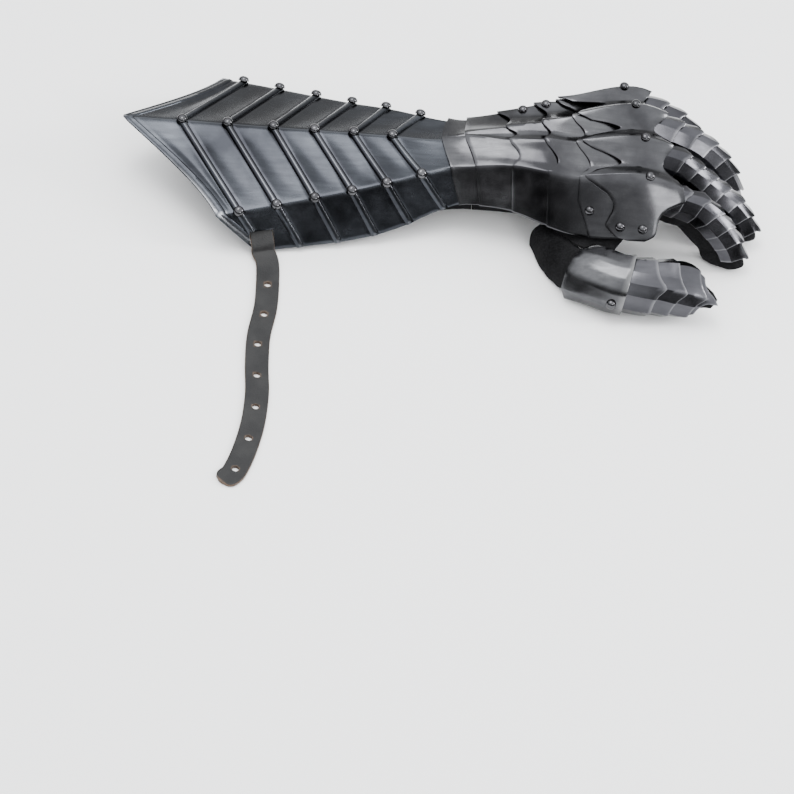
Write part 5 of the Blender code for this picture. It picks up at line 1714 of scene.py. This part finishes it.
@dataclass
class Buckle:
    """Nickel buckle on its short leather chape, under the cuff's far flank."""

    strap: ForearmStrap
    bar_y: float = 46 * MM
    bar_height: float = 4.8 * MM
    front_height: float = 1.9 * MM
    length: float = 24 * MM
    breadth: float = 26 * MM
    wire: float = 1.8 * MM
    tongue: float = 1.1 * MM
    gap: float = 0.4 * MM
    nip: float = 3 * MM
    corner_steps: int = 4
    tongue_rest: float = 0.3 * MM
    # The chape's way: lanes under the flank, then (distance, height) from the hem and, folded, from the bar
    chape_lanes: Tuple[float, float, float] = (7.35, 7.6, 7.78)
    chape_out: Tuple[Tuple[float, float], ...] = ((5 * MM, 1.0 * MM), (10 * MM, 0.0))
    chape_lead: float = 7 * MM
    chape_fold: Tuple[Tuple[float, float], ...] = ((8 * MM, 0.8 * MM), (16 * MM, 0.0))
    # The chape's slot for the tongue
    slot_clear: float = 0.8 * MM
    slot_back: float = 7 * MM
    slot_width: float = 5 * MM
    slot_depth: float = 14 * MM

    def place(self, y: float, height: float, dx: float = 0.0) -> Vector:
        """Level point at a height over the surface, near the buckle."""
        resting, x = self.strap.cuff.resting, self.strap.cuff.slot_x
        return resting.under(x, y) + self.strap.flat() * dx + resting.up() * height

    def frame_points(self) -> List[Vector]:
        """Rounded rectangle of the frame, in the row frame."""
        front = self.front_y()
        half = self.breadth / 2 - self.wire
        corners = [(self.bar_y, half, 1, 1), (front, half, -1, 1), (front, -half, -1, -1),
                   (self.bar_y, -half, 1, -1)]
        points = []
        for turn, (y, dx, side_y, side_x) in enumerate(corners):
            for k in range(self.corner_steps + 1):
                angle = math.pi / 2 * (k / self.corner_steps)
                if turn % 2:
                    a, b = math.sin(angle), math.cos(angle)
                else:
                    a, b = math.cos(angle), math.sin(angle)
                at_y = y + side_y * self.nip * (a - 1)
                at_x = dx + side_x * self.nip * (b - 1)
                share = (self.bar_y - at_y) / (self.bar_y - front)
                height = self.bar_height + (self.front_height - self.bar_height) * share
                points.append(self.strap.cuff.resting.place(self.place(at_y, height, at_x)))
        return points

    def front_y(self) -> float:
        """Across place of the frame's front bar."""
        return self.bar_y - self.length + 2 * self.wire

    def build(self, straps: StrapMaker, wardrobe: Wardrobe) -> None:
        """Make the frame, the tongue and the chape."""
        resting = self.strap.cuff.resting
        surface, slot_x = self.strap.cuff.surface, self.strap.cuff.slot_x
        make_piece("buckle_ring", wire_mesh("buckle_ring", self.frame_points(), self.wire, True),
                   wardrobe.get(Finish.NICKEL), ["buckle_frame"], 60.0)
        hook = self.wire + self.gap + self.tongue
        path = [self.place(self.bar_y + hook * math.cos(a), self.bar_height + hook * math.sin(a))
                for a in sampled(math.radians(-150), math.radians(90), 21)]
        rest = self.front_height + self.wire + self.gap + self.tongue + self.tongue_rest
        path.append(self.place(self.front_y() - MM, rest))
        prong = wire_mesh("buckle_prong", [resting.place(p) for p in path], self.tongue, False)
        make_piece("buckle_prong", prong, wardrobe.get(Finish.NICKEL),
                   ["buckle_tongue"], 60.0)
        hem_y = surface.line(8, slot_x)[0]
        centre = [surface.lifted(slot_x, lane, -self.gap) for lane in self.chape_lanes]
        centre += [self.place(hem_y - out, height) for out, height in self.chape_out]
        centre.append(self.place(self.bar_y + self.chape_lead, 0.0))
        for angle in sampled(math.radians(-90), math.radians(-270), 11):
            centre.append(self.place(self.bar_y + self.bar_height * math.cos(angle),
                                     self.bar_height + self.bar_height * math.sin(angle)))
        layer = 2 * self.strap.thickness + self.gap
        centre += [self.place(self.bar_y + out, layer + height) for out, height in self.chape_fold]
        across = self.strap.across(centre[:4], self.chape_lanes[1]) + [self.strap.flat() for _ in centre[4:]]
        mesh = straps.mesh("chape", centre, across, self.strap.thickness, self.strap.width)
        chape = make_piece("chape", mesh, wardrobe.get(Finish.LEATHER),
                           ["buckle_chape"], 50.0)
        reach = hook + self.tongue + self.slot_clear
        middle = resting.place(self.place(self.bar_y + (reach - self.slot_back) / 2, self.bar_height))
        slot = (self.slot_width, reach + self.slot_back, self.slot_depth, 1.0)
        work = bmesh.new()
        bmesh.ops.create_cube(work, size=1.0, matrix=Matrix.Translation(middle) @ Matrix.Diagonal(slot))
        punch(chape, work)


@dataclass
class Studio:
    """Pale floor, soft lights and the camera at the photo's angle."""

    resting: Resting
    elevation: float = math.radians(47.0)
    distance: float = 2.2
    across: float = 0.559
    roll: float = math.radians(-0.6)
    middle_x: float = 0.1864
    middle_drop: float = 0.1569
    dusk: Tuple[float, float] = (0.15, 0.8)
    low_light: float = 0.12
    high_light: float = 3.0

    def floor(self, wardrobe: Wardrobe) -> None:
        """Lay the floor."""
        work = bmesh.new()
        bmesh.ops.create_grid(work, x_segments=4, y_segments=4, size=4.0)
        mesh = bpy.data.meshes.new("floor")
        work.to_mesh(mesh)
        work.free()
        floor = bpy.data.objects.new("floor", mesh)
        floor.location.z = -0.3 * MM
        mesh.materials.append(wardrobe.get(Finish.FLOOR))
        bpy.context.scene.collection.objects.link(floor)

    def camera(self) -> None:
        """Place the camera and give it to the scene."""
        sin, cos = math.sin(self.elevation), math.cos(self.elevation)
        centre = Vector((self.middle_x, 0.0, 0.0)) - Vector((0.0, sin, cos)) * self.middle_drop
        back = Vector((0.0, -cos, sin))
        across = Vector((1.0, 0.0, 0.0))
        turn = self.resting.turn() @ Matrix((across, back.cross(across), back)).transposed()
        turn = turn @ Matrix.Rotation(self.roll, 3, "Z")
        data = bpy.data.cameras.new("camera")
        data.sensor_width = 36.0
        data.lens = 36.0 * self.distance / self.across
        camera = bpy.data.objects.new("camera", data)
        place = self.resting.place(centre + back * self.distance)
        camera.matrix_world = Matrix.Translation(place) @ turn.to_4x4()
        bpy.context.scene.collection.objects.link(camera)
        bpy.context.scene.camera = camera

    def light(self, name: str, place: Tuple[float, float, float], size: Tuple[float, float],
              power: float) -> None:
        """Add a soft light that faces the gauntlet."""
        data = bpy.data.lights.new(name, "AREA")
        data.shape = "RECTANGLE"
        data.size, data.size_y = size
        data.energy = power
        lamp = bpy.data.objects.new(name, data)
        lamp.location = place
        lamp.rotation_euler = (-Vector(place)).to_track_quat("-Z", "Y").to_euler()
        bpy.context.scene.collection.objects.link(lamp)

    def build(self, wardrobe: Wardrobe) -> None:
        """Set up floor, lights, surroundings and camera."""
        self.floor(wardrobe)
        self.light("key", (-0.3, 0.1, 1.8), (1.1, 0.7), 22.0)
        self.light("front", (0.9, -1.5, 1.1), (0.6, 0.4), 9.0)
        self.light("side", (1.6, 0.1, 0.8), (0.3, 0.8), 22.0)
        self.light("rear", (0.0, 2.4, 0.45), (3.5, 0.8), 7.0)
        world = bpy.data.worlds.new("surroundings")
        world.use_nodes = True
        tree = world.node_tree
        place = tree.nodes.new("ShaderNodeTexCoord")
        split = tree.nodes.new("ShaderNodeSeparateXYZ")
        rise = tree.nodes.new("ShaderNodeMapRange")
        rise.interpolation_type = "SMOOTHSTEP"
        rise.inputs["From Min"].default_value = self.dusk[0]
        rise.inputs["From Max"].default_value = self.dusk[1]
        rise.inputs["To Min"].default_value = self.low_light
        rise.inputs["To Max"].default_value = self.high_light
        tree.links.new(place.outputs["Generated"], split.inputs["Vector"])
        tree.links.new(split.outputs["Z"], rise.inputs["Value"])
        tree.links.new(rise.outputs["Result"], tree.nodes["Background"].inputs["Strength"])
        tree.nodes["Background"].inputs["Color"].default_value = (0.97, 0.985, 1.0, 1.0)
        bpy.context.scene.world = world
        self.camera()


def main() -> None:
    """Build the whole scene."""
    logging.basicConfig(level=logging.INFO, format="%(message)s")
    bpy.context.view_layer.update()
    surface = PlateSurface()
    resting = Resting(surface)
    plates = HandPlates(surface, resting)
    wrist = [point for extra in (0.0, PLATE_ROWS[0].sheet * MM)
             for line in plates.inner_points(PLATE_ROWS[0], EDGE_LANES, 5, extra) for point in line]
    resting.settle("wrist_lame", wrist)
    LOG.info("location %s mm", [round(v / MM, 3) for v in resting.location])
    wardrobe = Wardrobe()
    metal, rivets = SheetMetal(resting), RivetSet()
    scales, stalls, straps = ScaleMaker(resting), StallMaker(resting), StrapMaker(resting)
    cuff = Cuff(surface, resting)
    cuff.build(metal, wardrobe)
    plates.build(metal, rivets, wardrobe)
    fingers = Fingers(surface, resting)
    fingers.build(metal, scales, stalls, wardrobe)
    Thumb(fingers).build(metal, scales, stalls, rivets, wardrobe)
    glove = Glove(surface, resting)
    glove.build(wardrobe)
    strap = ForearmStrap(cuff)
    strap.build(straps, wardrobe)
    Buckle(strap).build(straps, wardrobe)
    PalmStrap(glove).build(straps, wardrobe)
    Studio(resting).build(wardrobe)


if __name__ == "__main__":
    main()
